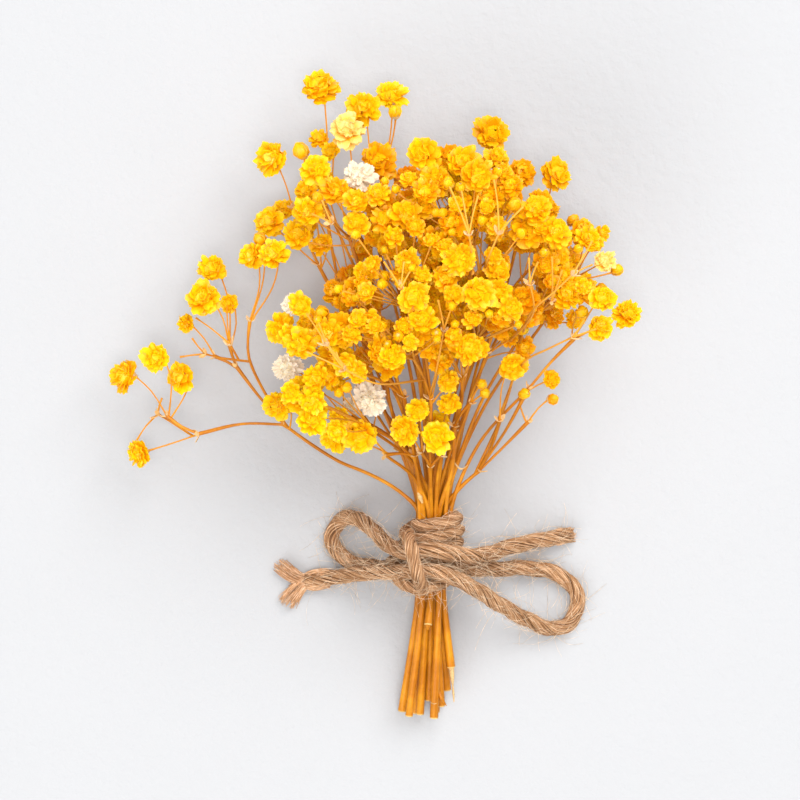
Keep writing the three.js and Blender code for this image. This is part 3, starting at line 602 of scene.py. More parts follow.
def fill_in(sprays, tips):
    """More, lower blooms in the gaps of the head, each on a stalk from the nearest fork."""
    rng = np.random.default_rng(FILL_SEED)
    forks = [(b, s) for s in sprays for b in branches_under(s.branch)]
    feet = np.array([b.fork for b, _ in forks])
    centres = np.array([t.centre for t in tips])
    reach = np.array([t.radius for t in tips])
    creams = [t for t in tips if t.kind in ("cream", "pale")]
    twigs = np.vstack([
        laid(route, 0.8) for _, way, ends in SPRIGS for route in [way] + [[way[-1], end] for end in ends]])
    found = []

    def hides(tip):
        """Whether it lies over a twig or over an undyed bloom."""
        beside = np.hypot(*(twigs - tip.centre)[:, :2].T) < tip.radius
        return (twigs[beside, 2] < tip.centre[2] + tip.radius).any() or any(
            math.hypot(*(t.centre - tip.centre)[:2]) < t.radius + tip.radius * 0.7 for t in creams)

    for _ in range(FILL_TRIES):
        x, y = rng.uniform(*FILL_ACROSS), rng.uniform(*FILL_DOWN)
        opens = rng.uniform() < FILL_BLOOM_SHARE
        size = rng.uniform(*(FILL_SIZES if opens else FILL_BUDS))
        if len(found) == FILL_COUNT:
            break
        if not inside(x, y, HEAD_OUTLINE) or any(
                math.hypot(x - gx, y - gy) < gr + size / 2 for gx, gy, gr in GAPS):
            continue
        near = np.hypot(*(centres[:, :2] - place((x, y, 12))[:2]).T) < 9
        roof = centres[near, 2].max() if near.any() else 14
        for z in np.arange(roof - 1, 3, -1.5):
            tip = tip_of(0, x, y, float(z), size, "bloom" if opens else "bud")
            gap = np.linalg.norm(centres - tip.centre, axis=1) - (reach + tip.radius) * FILL_OVERLAP
            if gap.min() < 0 or hides(tip):
                continue
            fork = nearest_fork(tip, forks, feet)
            if fork:
                branch, spray = fork
                tip.spray = spray.index
                tip.low = True
                start = branch.fork - branch.ahead * rng.uniform(0.2, 2.6)
                seat = tip.centre - facing(tip) * CUP_DEPTH * tip.radius
                bow = unit(np.cross(seat - start, rng.normal(0, 1, 3))) * length(seat - start) * 0.06
                tip.stalk = [seat, (seat + start) / 2 + bow, start]
                found.append(tip)
                centres = np.vstack([centres, tip.centre])
                reach = np.append(reach, tip.radius)
            break
    return found


def companions(sprays):
    """Stems that leave the collar beside the trunks and run to the larger side branches."""
    rng = np.random.default_rng(COMPANION_SEED)
    found = []
    for spray in sprays:
        sides = sorted(spray.branch.branches, key=lambda b: -len(tips_under(b)))
        sides = sides[:0 if spray.name == ALONE else COMPANIONS]
        for n, branch in enumerate(sides):
            beside = rng.uniform(-0.42, 0.42) + (0.5 if n else -0.5)
            _, across, up, _, _ = SPRAYS[spray.index]
            across = max(-1.7, min(2.5, across + beside + (0.4 if across > 0 else 0)))
            low = in_collar(across, up + rng.uniform(0.2, 0.6), TIE_HALF - 4)
            high = in_collar(across, up + rng.uniform(0.2, 0.6), TIE_HALF + 1)
            way = branch.fork - high
            knee = high + TIE_AXIS * length(way) * 0.3 + way * 0.25 + rng.normal(0, 0.5, 3)
            points = [low, high, (high + branch.fork) / 4 + knee / 2, branch.fork]
            found.append(stem_of(spray.index, points, "companion"))
    return found


def sprigs(sprays, stems):
    """The stalks in front of the blooms, which start on the nearest stem, with a bud where one is
    listed."""
    found, buds, forks = [], [], []
    index = {s.name: s.index for s in sprays}
    lines = [through(s.points, 0.5)[0] for s in stems]
    for name, way, ends in SPRIGS:
        route = [place(p) for p in way]
        seats = np.vstack(lines)
        route[0] = seats[np.linalg.norm(seats - route[0], axis=1).argmin()]
        lines.append(through(route, 0.5)[0])
        ahead = unit(route[-1] - route[-2])
        found.append(stem_of(index[name], route, "sprig"))
        forks.append(SimpleNamespace(spray=index[name], fork=route[-1], ahead=ahead))
        for end in ends:
            seat = place(end[:3])
            middle = (route[-1] + seat) / 2 + ahead * 0.12 * length(seat - route[-1])
            if len(end) > 3:
                buds.append(tip_of(index[name], *end, "bud"))
            found.append(stem_of(index[name], [seat, middle, route[-1]], "pedicel", PEDICEL_RADIUS))
    return found, buds, forks


def grow_all():
    """The whole bunch: sprays, the tips of their source, all their stems, the added tips and forks."""
    sprays, tips, stems = grow_bouquet()
    fills = fill_in(sprays, tips)
    stems += companions(sprays)
    stems += [stem_of(t.spray, t.stalk, "pedicel", PEDICEL_RADIUS) for t in fills]
    twigs, buds, forks = sprigs(sprays, stems)
    return SimpleNamespace(sprays=sprays, tips=tips, stems=stems + twigs, fills=fills + buds, forks=forks)


GROWN = grow_all()


def tips_of(spray):
    return tips_under(spray.branch) + [t for t in GROWN.fills if t.spray == spray.index]


# ---------------------------------------------------------------- modelling by hand


def deselect():
    if bpy.context.object and bpy.context.object.mode != "OBJECT":
        bpy.ops.object.mode_set(mode="OBJECT")
    bpy.ops.object.select_all(action="DESELECT")


def join(*pieces):
    """Makes one piece of them, which is the first."""
    deselect()
    for piece in pieces:
        piece.select_set(True)
    bpy.context.view_layer.objects.active = pieces[0]
    bpy.ops.object.join()


def smooth(obj, degrees):
    deselect()
    obj.select_set(True)
    bpy.context.view_layer.objects.active = obj
    bpy.ops.object.shade_smooth_by_angle(angle=math.radians(degrees))


def pick(obj, test):
    """Selects the vertices of the mesh in edit mode whose place passes the test."""
    bpy.ops.mesh.select_all(action="DESELECT")
    bm = bmesh.from_edit_mesh(obj.data)
    for v in bm.verts:
        v.select_set(bool(test(v.co)))
    bm.select_flush_mode()
    bmesh.update_edit_mesh(obj.data)


def arrays(obj):
    """The vertices and four-cornered faces of a modelled shape, which is then taken away."""
    mesh = obj.data
    co = np.zeros(len(mesh.vertices) * 3)
    mesh.vertices.foreach_get("co", co)
    faces = np.array([tuple(p.vertices) for p in mesh.polygons])
    bpy.data.objects.remove(obj)
    bpy.data.meshes.remove(mesh)
    return co.reshape(-1, 3), faces


def model_petal(widths, nicks, wall):
    """A flat petal from a grid, 2 wide and 2 long: its rows drawn in to widths from the claw up,
    its tip nicked back column by column, and a wall given to it. Its length then runs from 0 to 1."""
    deselect()
    columns, rows = len(nicks) - 1, len(widths) - 1
    bpy.ops.mesh.primitive_grid_add(x_subdivisions=columns, y_subdivisions=rows, size=2)
    petal = bpy.context.object
    bpy.ops.object.mode_set(mode="EDIT")
    for j, nick in enumerate(nicks):
        x = 2 * j / columns - 1
        pick(petal, lambda co: abs(co.x - x) < 1e-4 and co.y > 0.999)
        bpy.ops.transform.translate(value=(0, -2 * nick, 0))
    for i, width in enumerate(widths):
        y = 2 * i / rows - 1
        if i == rows:
            pick(petal, lambda co: co.y > 1 - 2 / rows + 1e-4)
        else:
            pick(petal, lambda co: abs(co.y - y) < 1e-4)
        bpy.ops.transform.resize(value=(width, 1, 1), center_override=(0, y, 0))
    bpy.ops.object.mode_set(mode="OBJECT")
    solidify = petal.modifiers.new("wall", "SOLIDIFY")
    solidify.thickness = wall
    solidify.offset = 0
    bpy.ops.object.modifier_apply(modifier=solidify.name)
    co, faces = arrays(petal)
    co[:, 1] = (co[:, 1] + 1) / 2
    return co, faces


class Gathering:
    """Copies of modelled shapes that become one piece: their vertices in mm, faces and patterns."""

    def __init__(self):
        self.co, self.faces, self.uv, self.tint = [], [], [], []
        self.count = 0

    def add(self, model, placed, centre, axis, spin, tint, share=1.0, start=0.0):
        """Copies of a model made round the Z axis, in one array (copies, vertices, 3), and set at a
        centre with that axis. tint is per copy or for all. The pattern takes up that share of its
        chart's length, from start."""
        z = unit(axis)
        x = unit(np.cross(z, (0.31, 0.87, -0.4)))
        x = x * math.cos(spin) + np.cross(z, x) * math.sin(spin)
        spun = placed @ np.array([x, np.cross(z, x), z]) + centre
        spun[..., 2] = np.maximum(spun[..., 2], FLOOR_GAP)
        copies, each = placed.shape[:2]
        co, faces = model
        uv = np.stack([co[:, 0] / 2 + 0.5, co[:, 1] * share + start], axis=1)
        offsets = self.count + np.arange(copies)[:, None, None] * each
        self.co.append(spun.reshape(-1, 3))
        self.faces.append((faces[None] + offsets).reshape(-1, 4))
        self.uv.append(np.broadcast_to(uv, (copies, each, 2)).reshape(-1, 2))
        self.tint.append(np.repeat(np.broadcast_to(np.asarray(tint, float), (copies, 4)), each, axis=0))
        self.count += copies * each

    def piece(self, name, material):
        mesh = bpy.data.meshes.new(name)
        co = np.concatenate(self.co) * MM
        faces = np.concatenate(self.faces)
        mesh.vertices.add(len(co))
        mesh.vertices.foreach_set("co", co.ravel())
        mesh.loops.add(faces.size)
        mesh.loops.foreach_set("vertex_index", faces.ravel())
        mesh.polygons.add(len(faces))
        mesh.polygons.foreach_set("loop_start", np.arange(len(faces)) * 4)
        mesh.polygons.foreach_set("loop_total", np.full(len(faces), 4))
        uv = mesh.uv_layers.new(name="petal")
        uv.data.foreach_set("uv", np.concatenate(self.uv)[faces.ravel()].ravel())
        tint = mesh.attributes.new("tint", "FLOAT_COLOR", "POINT")
        tint.data.foreach_set("color", np.concatenate(self.tint).ravel())
        mesh.update()
        mesh.materials.append(material)
        obj = bpy.data.objects.new(name, mesh)
        bpy.context.scene.collection.objects.link(obj)
        return obj


def curl(model, rng, base, rise, fall, tip, azimuth, width, cup, ruffle, wrap=0.0, swirl=0.0, roll=0.0):
    """Copies of a flat petal round the Z axis, one for each azimuth. base and tip are its ends,
    rise and fall the two handles of its bend, each as (out, up) rows in mm. cup hollows it, ruffle
    waves it towards its tip, and wrap, from 0 to 1, is how far it winds round the axis."""
    n = len(azimuth)
    x, s, h = (model[0][None, :, i] for i in range(3))
    width, cup, ruffle, roll = (np.broadcast_to(v, n)[:, None] for v in (width, cup, ruffle, roll))
    a, b, c, d = (np.asarray(v, float)[:, None, :] for v in (base, rise, fall, tip))
    t = s[..., None]
    u = 1 - t
    path = u ** 3 * a + 3 * u ** 2 * t * b + 3 * u * t * t * c + t ** 3 * d
    slope = u ** 2 * (b - a) + 2 * u * t * (c - b) + t * t * (d - c)
    slope = slope / np.maximum(np.linalg.norm(slope, axis=2, keepdims=True), 1e-9)
    inward = np.stack([-slope[..., 1], slope[..., 0]], axis=2)
    aside = x * width
    phase = rng.uniform(0, FULL_TURN, (n, 1))
    waves = rng.uniform(3.4, 5.6, (n, 1))
    bow = rng.uniform(-0.5, 0.5, (n, 1))
    off = h + cup * aside ** 2 + ruffle * np.sin(waves * x + phase) * s ** 2
    off = off + ruffle * bow * np.sin(3 * s + phase)
    off = off + aside * np.sin(roll)
    out = path[..., 0] + inward[..., 0] * off
    up = path[..., 1] + inward[..., 1] * off
    turn = azimuth[:, None] + swirl * s + wrap * aside / np.maximum(np.abs(out), 0.35)
    side = (1 - wrap) * aside * np.cos(roll)
    return np.stack([
        out * np.cos(turn) - side * np.sin(turn), out * np.sin(turn) + side * np.cos(turn), up], axis=2)


# ---------------------------------------------------------------- blooms, buds and bracts


def tones(tip, count, rng):
    """For each petal of a bloom: its painted shade, deeper in the middle of the head, its lemon, partly painted
    light, and how faded its dye is.
    """
    dyed = tip.kind != "cream"
    shade = rng.uniform(0.0, 1.0)
    off = math.hypot(tip.centre[0] - HEAD_MIDDLE[0], tip.centre[1] - HEAD_MIDDLE[1])
    central = np.interp(off, SHADE_WITHIN, [1.0, 0.0])
    # Painted shade: deeper near the head's middle, the lower a bloom lies there, with a share at random.
    deep = (1.4 - tip.centre[2] / SHADE_HEIGHT) * central + shade * 0.6 - 0.35
    # Painted light: the front blooms near the collar are made lemon; blooms away from the head's middle are
    # made lemon too, and each gets a share at random.
    thin = np.clip((LEMON_FROM - tip.centre[1]) / LEMON_SPAN, 0, 1) if tip.centre[2] > LEMON_ABOVE else 0
    tint = np.ones((count, 4))
    tint[:, 0] = np.clip(deep + rng.uniform(-0.2, 0.2, count), 0, 1) * (1 if dyed else 0.15)
    tint[:, 1] = (np.maximum(0.85 * thin, 0.42 * (1 - central)) + rng.uniform(0, 0.3)) * dyed
    tint[:, 2] = tip.kind == "pale"
    return tint


def handle(angle, span, share):
    """From an end of each petal to its handle, at an angle from the bloom's axis."""
    return (np.stack([np.sin(angle), np.cos(angle)], 1).T * span * share).T


def bloom(gathering, models, tip, rng, crowd, frill):
    """A double bloom: petals set round its axis by the golden angle, small curled ones in the
    middle, broad cupped ones at the rim."""
    r = tip.radius
    cream = tip.kind == "cream"
    broad = 1.0 if cream else rng.uniform(0.85, 1.3)
    count = int(round(crowd * min(1, 0.45 + 0.55 * r / FULL_BLOOM) * (1.35 if cream else 1) / broad ** 1.4))
    t = (np.arange(count) + 0.5) / count
    lowest = rng.uniform(-0.72, -0.5)
    theta = np.arccos(np.clip(1 - (1 - lowest) * t, -1, 1)) + rng.normal(0, 0.07, count)
    tall = 0.82 * rng.uniform(0.92, 1.1)
    opened = rng.uniform(-0.25, 0.35) if rng.uniform() < 0.22 and not cream else rng.uniform(0.7, 1.15)
    azimuth = np.arange(count) * GOLDEN_ANGLE + rng.normal(0, 0.16, count)
    lobes = 1 + 0.1 * np.cos(azimuth - rng.uniform(0, 6)) + 0.08 * np.cos(2 * azimuth - rng.uniform(0, 6))
    reach = r * lobes * rng.uniform(0.88, 1.1, count)
    up = np.where(np.cos(theta) > 0, tall, 0.75) * np.cos(theta) + 0.02
    tips = np.stack([np.sin(theta), up], axis=1) * reach[:, None]
    base = np.tile([0.06 * r, -0.42 * r], (count, 1))
    span = np.linalg.norm(tips - base, axis=1)
    first = theta * rng.uniform(0.35, 0.65, count)
    spread = opened * rng.uniform(0.35, 1.05, count)
    last = theta + spread * np.interp(t, [0, 0.08, 0.2, 0.5, 1], [0.1, 0.3, 1, 0.9, 0.5])
    rise = base + handle(first, span, 0.45)
    fall = tips - handle(last, span, 0.42)
    width = r * (0.2 + 0.115 * t) * rng.uniform(0.85, 1.2, count) * (0.75 if cream else broad)
    cup = rng.uniform(-0.26, 0.1, count) * (FULL_BLOOM / r)
    ruffle = r * frill * rng.uniform(0.5, 1.4, count)
    roll = rng.normal(0, 0.22, count)
    tint = tones(tip, count, rng)
    wrapped(gathering, models["heart"], tip, rng, 0.68, upward(tip), [0.1, 0.2, tint[0, 2], 1], 0.0)
    small = t < (1.1 if tip.low else 0.3)
    for model, mine in ((models["inner"], small), (models["outer"], ~small)):
        if mine.any():
            placed = curl(
                model, rng, *(v[mine] for v in (base, rise, fall, tips, azimuth, width, cup, ruffle)),
                roll=roll[mine])
            gathering.add(model, placed, tip.centre, upward(tip), tip.spin, tint[mine])


def wrapped(gathering, model, tip, rng, size, axis, tint, top):
    """Five petals wound round each other into a closed ball of that size, open at the top by top."""
    n = 5
    r = tip.radius * size
    base = np.tile([0.08 * r, -0.86 * r], (n, 1))
    rise = np.tile([1.18 * r, -0.82 * r], (n, 1))
    fall = np.tile([1.12 * r, 0.72 * r], (n, 1))
    tips = np.tile([top * r, 0.96 * r], (n, 1)) + rng.normal(0, 0.04 * r, (n, 2))
    tips[:, 0] = np.abs(tips[:, 0])
    azimuth = np.arange(n) * FULL_TURN / n + rng.uniform(0, 1) + rng.normal(0, 0.08, n)
    placed = curl(
        model, rng, base, rise, fall, tips, azimuth, 0.92 * r, 0.0, 0.03 * r, wrap=1.0, swirl=0.9, roll=0.1)
    gathering.add(model, placed, tip.centre, axis, tip.spin, tint, 0.55, 0.42)


def bud(gathering, model, tip, rng):
    """A closed bud, or one that begins to show a paler petal inside."""
    half_open = rng.uniform() < 0.3
    tone = rng.uniform(0.1, 0.7)
    wrapped(gathering, model, tip, rng, 0.84, facing(tip), [tone * 0.5, 0.4, half_open, 1], 0.0)
    wrapped(gathering, model, tip, rng, 1.0, facing(tip), [tone, 0.6, 0.0, 1], 0.32 * half_open)


def calyx(gathering, model, tip, rng):
    """The small green-gold cup of five sepals under a bloom or bud."""
    r = tip.radius
    n = 5
    deep, reach, top = (0.92, 0.62, -0.5) if tip.kind == "bud" else (0.66, 0.36, -0.16)
    base = np.tile([0.12, -deep * r - 0.25], (n, 1))
    rise = np.tile([min(0.75, 0.9 * reach * r), -deep * r - 0.1], (n, 1))
    tips = np.stack([reach * r * rng.uniform(0.9, 1.1, n), top * r * rng.uniform(0.8, 1.3, n)], 1)
    fall = tips * [0.92, 1] - [0, 0.25 * r]
    azimuth = np.arange(n) * FULL_TURN / n + rng.normal(0, 0.1, n)
    placed = curl(model, rng, base, rise, fall, tips, azimuth, 0.5 * reach * r + 0.12, 0, 0.02, wrap=0.85)
    tint = [rng.uniform(0.2, 0.8), 0.3, 0.9 if rng.uniform() < 0.25 else 0.15, 1]
    gathering.add(model, placed, tip.centre, facing(tip), tip.spin + 0.4, tint)


def bracts(gathering, model, branch, rng):
    """The dry papery scales round a fork."""
    n = 3
    size = rng.uniform(0.9, 1.5)
    base = np.tile([0.2, -0.35], (n, 1))
    tips = np.stack([rng.uniform(0.55, 1.15, n) * size, rng.uniform(0.35, 1.0, n) * size], 1)
    rise = np.tile([0.62, -0.1], (n, 1))
    fall = tips - [0.05, 0.3]
    azimuth = np.arange(n) * FULL_TURN / n + rng.normal(0, 0.3, n)
    placed = curl(model, rng, base, rise, fall, tips, azimuth, 0.42 * size, 0, 0.05, wrap=0.8)
    tint = [0.5, 0.5, rng.uniform(0.5, 1.0), 1]
    gathering.add(model, placed, branch.fork, branch.ahead, rng.uniform(0, 6), tint)


# ---------------------------------------------------------------- stems and twine


def drawn(name, lines, depth, sides, material):
    """A piece drawn as round curves and made a mesh. Each line is (points in mm, radii, tilts)."""
    deselect()
    bpy.ops.curve.primitive_nurbs_path_add()
    obj = bpy.context.object
    obj.name = name
    curve = obj.data
    curve.splines.clear()
    curve.dimensions = "3D"
    curve.twist_mode = "MINIMUM"
    for points, radii, tilts in lines:
        spline = curve.splines.new("POLY")
        spline.points.add(len(points) - 1)
        flat = np.ones((len(points), 4))
        flat[:, :3] = np.asarray(points) * MM
        spline.points.foreach_set("co", flat.ravel())
        spline.points.foreach_set("radius", np.full(len(points), radii, float))
        spline.points.foreach_set("tilt", np.full(len(points), tilts, float))
    curve.bevel_depth = depth * MM
    curve.bevel_resolution = sides
    curve.use_fill_caps = True
    bpy.ops.object.convert(target="MESH")
    obj = bpy.context.object
    mesh = obj.data
    mesh.name = name
    # The ends come first, last line before first, and then the walls. The chart gets mm for its length.
    points = np.array([len(line[0]) for line in lines])
    around = len(mesh.vertices) // (2 * len(lines) + points.sum())
    order = np.arange(len(lines))
    owner = np.concatenate([np.repeat(order[::-1], 2 * around), np.repeat(order, points * around)])
    spans = np.array([paces(line[0]).sum() for line in lines])
    corners = np.zeros(len(mesh.loops), int)
    mesh.loops.foreach_get("vertex_index", corners)
    chart = np.zeros(len(mesh.loops) * 2)
    mesh.uv_layers[0].data.foreach_get("uv", chart)
    chart[::2] = chart[::2] * spans[owner[corners]] + owner[corners] * CHART_SHIFT
    mesh.uv_layers[0].data.foreach_set("uv", chart)
    mesh.uv_layers[0].name = "length"
    bpy.ops.object.mode_set(mode="EDIT")
    bpy.ops.mesh.select_all(action="SELECT")
    bpy.ops.mesh.remove_doubles(threshold=1e-6)
    bpy.ops.object.mode_set(mode="OBJECT")
    obj.data.materials.clear()
    obj.data.materials.append(material)
    obj.location = (0, 0, 0)
    return obj


def headings(line):
    """The direction of a line at each of its points."""
    ahead = np.gradient(line, axis=0)
    return ahead / np.linalg.norm(ahead, axis=1, keepdims=True)


def paces(line):
    """The length of each step along a line."""
    return np.linalg.norm(np.diff(line, axis=0), axis=1)


def uneven(count, rng, share, stretch):
    """Radii about 1 that swell and thin slowly along a line."""
    knots = rng.normal(0, share, max(4, int(count / stretch) + 3))
    return 1 + np.interp(np.linspace(0, len(knots) - 1, count), np.arange(len(knots)), knots)


def strands(line, radius, pitch, count, rng):
    """The coarse strands of a twine, wound round its core so that they gather in three plies."""
    ahead = headings(line)
    side = [unit(np.cross(ahead[0], (0.2, 0.3, 1)))]
    for a in ahead[1:]:
        side.append(unit(side[-1] - a * side[-1].dot(a)))
    side = np.array(side)
    over = np.cross(ahead, side)
    spun = np.concatenate([[0], np.cumsum(paces(line))]) / pitch * FULL_TURN
    n = len(line)
    found = []
    for k in range(count):
        place_on = FULL_TURN * (k + rng.uniform(-0.35, 0.35)) / count + (uneven(n, rng, 0.13, 11) - 1)
        out = radius * (0.8 + 0.075 * np.cos(3 * place_on)) * uneven(n, rng, 0.035, 7)
        turn = (place_on + spun)[:, None]
        points = line + (side * np.cos(turn) + over * np.sin(turn)) * out[:, None]
        points[:, 2] = np.maximum(points[:, 2], STRAND_FLOOR)
        found.append((points, uneven(n, rng, 0.16, 8) * rng.uniform(0.75, 1.2), 0))
    return found


def hair(start, way, size, rng, bend):
    """A loose fibre that wanders from its start, and bends up where it meets the floor."""
    step = size / HAIR_STEPS
    way = unit(way)
    turn = unit(rng.normal(0, 1, 3)) * bend
    line = [np.array(start, float)]
    for _ in range(HAIR_STEPS):
        way = unit(way + turn * step + rng.normal(0, 0.06, 3))
        turn = turn * 0.97 + rng.normal(0, 0.06, 3)
        p = line[-1] + way * step
        if p[2] < HAIR_FLOOR:
            p[2] = HAIR_FLOOR
            way[2] = abs(way[2]) * 0.3
        line.append(p)
    return np.array(line)


def fuzz(line, radius, count, rng, longest):
    """Fibres that lie on a twine, most of them bowed along it, and a few that stand off it."""
    found = []
    ahead = np.gradient(line, axis=0)
    for n in range(count):
        i = int(rng.integers(2, len(line) - 2))
        along = unit(ahead[i]) * rng.choice([-1, 1])
        out = rng.normal(0, 1, 3)
        out = unit(out - along * out.dot(along))
        side = np.cross(along, out)
        start = line[i] + out * radius * 0.97
        if n % 5 > 1:
            size = rng.uniform(1.6, 5.0)
            lean = rng.normal(0, 0.45)
            t = np.linspace(0, 1, 6)[:, None]
            lift = rng.uniform(0.05, 0.9) * size * 0.22
            fibre = start + (along + side * lean) * size * t + out * (lift * 4 * t * (1 - t))
            fibre = fibre - out * (size * size * t * t * 0.5 * lean * lean / radius)
            fibre[:, 2] = np.maximum(fibre[:, 2], HAIR_FLOOR)
            found.append((fibre, np.linspace(1, 0.6, 6) * rng.uniform(0.5, 1.1), 0))
        else:
            loose = rng.uniform() ** 1.3
            size = 2.0 + (longest - 2.0) * loose
            way = along * rng.uniform(0.4, 1.2) + side * rng.normal(0, 0.6) + out * (0.25 + 0.7 * loose)
            bend = rng.uniform(0.15, 0.6)
            fibre = hair(start, way, size, rng, bend)
            found.append((fibre, np.linspace(0.85, 0.55, 8) * rng.uniform(0.6, 1.1), 0))
    return found


def brush(route, root, tip, count, rng, thick):
    """The fibres of a frayed end. They follow a route, and their spread goes from root to tip."""
    found = []
    line = through(route, 1.0)[0]
    across = np.cross(headings(line), (0, 0, 1))
    across /= np.linalg.norm(across, axis=1, keepdims=True)
    n = len(line)
    t = np.linspace(0, 1, n)
    spread = np.interp(t, [0, 0.3, 0.5, 1], [root, root * 0.95, root * 0.72, tip])
    for _ in range(count):
        u, v = rng.uniform(-1, 1), rng.uniform(-1, 1)
        v *= math.sqrt(max(0, 1 - u * u))
        keep = rng.uniform(0.7, 1.0) - 0.1 * u * u
        sway = np.sin(t * rng.uniform(3, 9) + rng.uniform(0, 6)) * rng.normal(0, 0.22) * t
        offset = across * (u * spread + sway)[:, None] + np.array([0, 0, 1]) * (v * spread * 0.7)[:, None]
        at = np.linspace(rng.uniform(0, 0.25), keep, 10) * (n - 1)
        fibre = np.stack([np.interp(at, np.arange(n), (line + offset)[:, i]) for i in range(3)], axis=1)
        fibre[:, 2] = np.maximum(fibre[:, 2], BRUSH_FLOOR)
        found.append((fibre, np.linspace(1, 0.6, 10) * thick * rng.uniform(0.5, 1.3), 0))
    return found


# ---------------------------------------------------------------- finishes


def rgba(colour, shade=1.0):
    return tuple(c * shade for c in colour[:3]) + (1,)


class Finish:
    """A material whose nodes are named as they are made."""

    def __init__(self, name):
        self.material = bpy.data.materials.new(name)
        self.material.use_nodes = True
        self.nodes = self.material.node_tree.nodes
        self.shader = self.nodes["Principled BSDF"]

    def add(self, kind, name, settings=None, **inputs):
        node = self.nodes.new("ShaderNode" + kind)
        node.name = node.label = name
        for key, value in (settings or {}).items():
            setattr(node, key, value)
        for key, value in inputs.items():
            self.join(node, key, value)
        return node

    def join(self, node, key, value):
        key = key.replace("_", " ")
        socket = node.inputs[int(key[1:])] if key[0] == "i" and key[1:].isdigit() else node.inputs[key]
        if isinstance(value, bpy.types.NodeSocket):
            self.material.node_tree.links.new(value, socket)
        elif isinstance(value, bpy.types.Node):
            self.material.node_tree.links.new(value.outputs[0], socket)
        else:
            socket.default_value = value

    def surface(self, **inputs):
        for key, value in inputs.items():
            self.join(self.shader, key, value)
        return self.material

    def here(self):
        return self.add("TexCoord", "place").outputs["Object"]

    def tints(self, name):
        """The pattern that petals and scales carry, in parts."""
        tint = self.add("Attribute", name, {"attribute_name": "tint"})
        return self.add("SeparateColor", "tint parts", Color=tint.outputs["Color"]).outputs

    def ramp(self, name, stops, fac):
        node = self.add("ValToRGB", name, Fac=fac)
        elements = node.color_ramp.elements
        while len(elements) < len(stops):
            elements.new(0.5)
        for element, (at, colour) in zip(elements, stops):
            element.position = at
            element.color = rgba(colour)
        return node

    def mix(self, name, fac, a, b, blend="MIX"):
        return self.add("MixRGB", name, {"blend_type": blend}, Fac=fac, Color1=a, Color2=b)

    def shaded(self, name, fac, colour, tone, stops, pattern):
        """The colour times the tones that a pattern runs through."""
        return self.mix(name, fac, colour, self.ramp(tone, stops, pattern), "MULTIPLY")

    def toned(self, name, fac, colour, tone, by):
        return self.mix(name, fac, colour, self.mix(tone, 1.0, colour, rgba(by), "MULTIPLY"))

    def noise(self, name, vector, scale, detail, rough):
        return self.add("TexNoise", name, Vector=vector, Scale=scale, Detail=detail, Roughness=rough)

    def drawn_out(self, name, vector, scale, detail, rough):
        """A noise that is stretched along a chart."""
        chart = self.add("Mapping", name + " drawn out", Vector=vector, Scale=scale)
        return self.noise(name, chart, 1.0, detail, rough)

    def bump(self, name, strength, distance, pattern):
        return self.add("Bump", name, Strength=strength, Distance=distance, Height=pattern)

    def wound(self):
        """The place on a drawn piece as a point that goes round a circle and on along the line, so
        that a pattern has no seam."""
        drawn_chart = self.add("UVMap", "drawn chart", {"uv_map": "length"})
        chart = self.add("SeparateXYZ", "along and round", Vector=drawn_chart)
        turn = self.add("Math", "turn", {"operation": "MULTIPLY"}, i0=chart.outputs[1], i1=FULL_TURN)
        cosine = self.add("Math", "cosine", {"operation": "COSINE"}, i0=turn)
        sine = self.add("Math", "sine", {"operation": "SINE"}, i0=turn)
        return self.add("CombineXYZ", "round and along", i0=cosine, i1=sine, i2=chart.outputs[0])


def petal_finish(name, edge, middle, claw, faded, waxy, inner=(1.0, 0.8, 0.3)):
    """Dyed petals: deeper at the claw, partly the dye and partly painted shade deep in the bloom, brighter at
    the tip, fine veins along each, no two alike.
    """
    f = Finish(name)
    parts = f.tints("petal tint")
    chart = f.add("UVMap", "petal chart", {"uv_map": "petal"})
    across = f.add("SeparateXYZ", "along the petal", Vector=chart)
    mottle = f.noise("mottle", f.here(), 900, 3, 0.6)
    veins = f.drawn_out("veins", chart, (26, 1.6, 1), 2, 0.5)
    height = f.add(
        "Math", "height up the petal", {"operation": "MULTIPLY_ADD"}, i0=mottle, i1=0.24, i2=across.outputs[1])
    # Partly painted shade: the colour darkens and turns orange towards the claw, deep inside the bloom; the
    # rest is the dye.
    base = f.ramp("claw to tip", [(0.1, claw), (0.55, middle), (1.02, edge)], height)
    # Painted shade: the first tint part darkens the petals towards amber.
    dark = f.toned("petals in painted shade", parts[0], base, "painted shade tone", (0.86, 0.6, 0.4))
    # Partly painted light: the second tint part makes the petals lemon.
    lemon = f.toned("lemon petals", parts[1], dark, "lemon tone", (1.04, 1.3, 1.0))
    worn = f.ramp("faded", [(0.2, middle), (0.62, edge), (1.0, faded)], height)
    pale = f.mix("faded petals", parts[2], lemon, worn)
    colour = f.shaded("veined", 0.75, pale, "vein tone", [(0.36, (0.9, 0.76, 0.6)), (0.56, (1, 1, 1))], veins)
    return f.surface(
        Base_Color=colour, Roughness=f.ramp("wax", [(0.3, (waxy,) * 3), (0.8, (waxy + 0.22,) * 3)], mottle),
        Normal=f.bump("vein relief", 0.5, 0.00006, veins), Specular_IOR_Level=0.26,
        Subsurface_Weight=0.35, Subsurface_Radius=inner, Subsurface_Scale=0.0003)


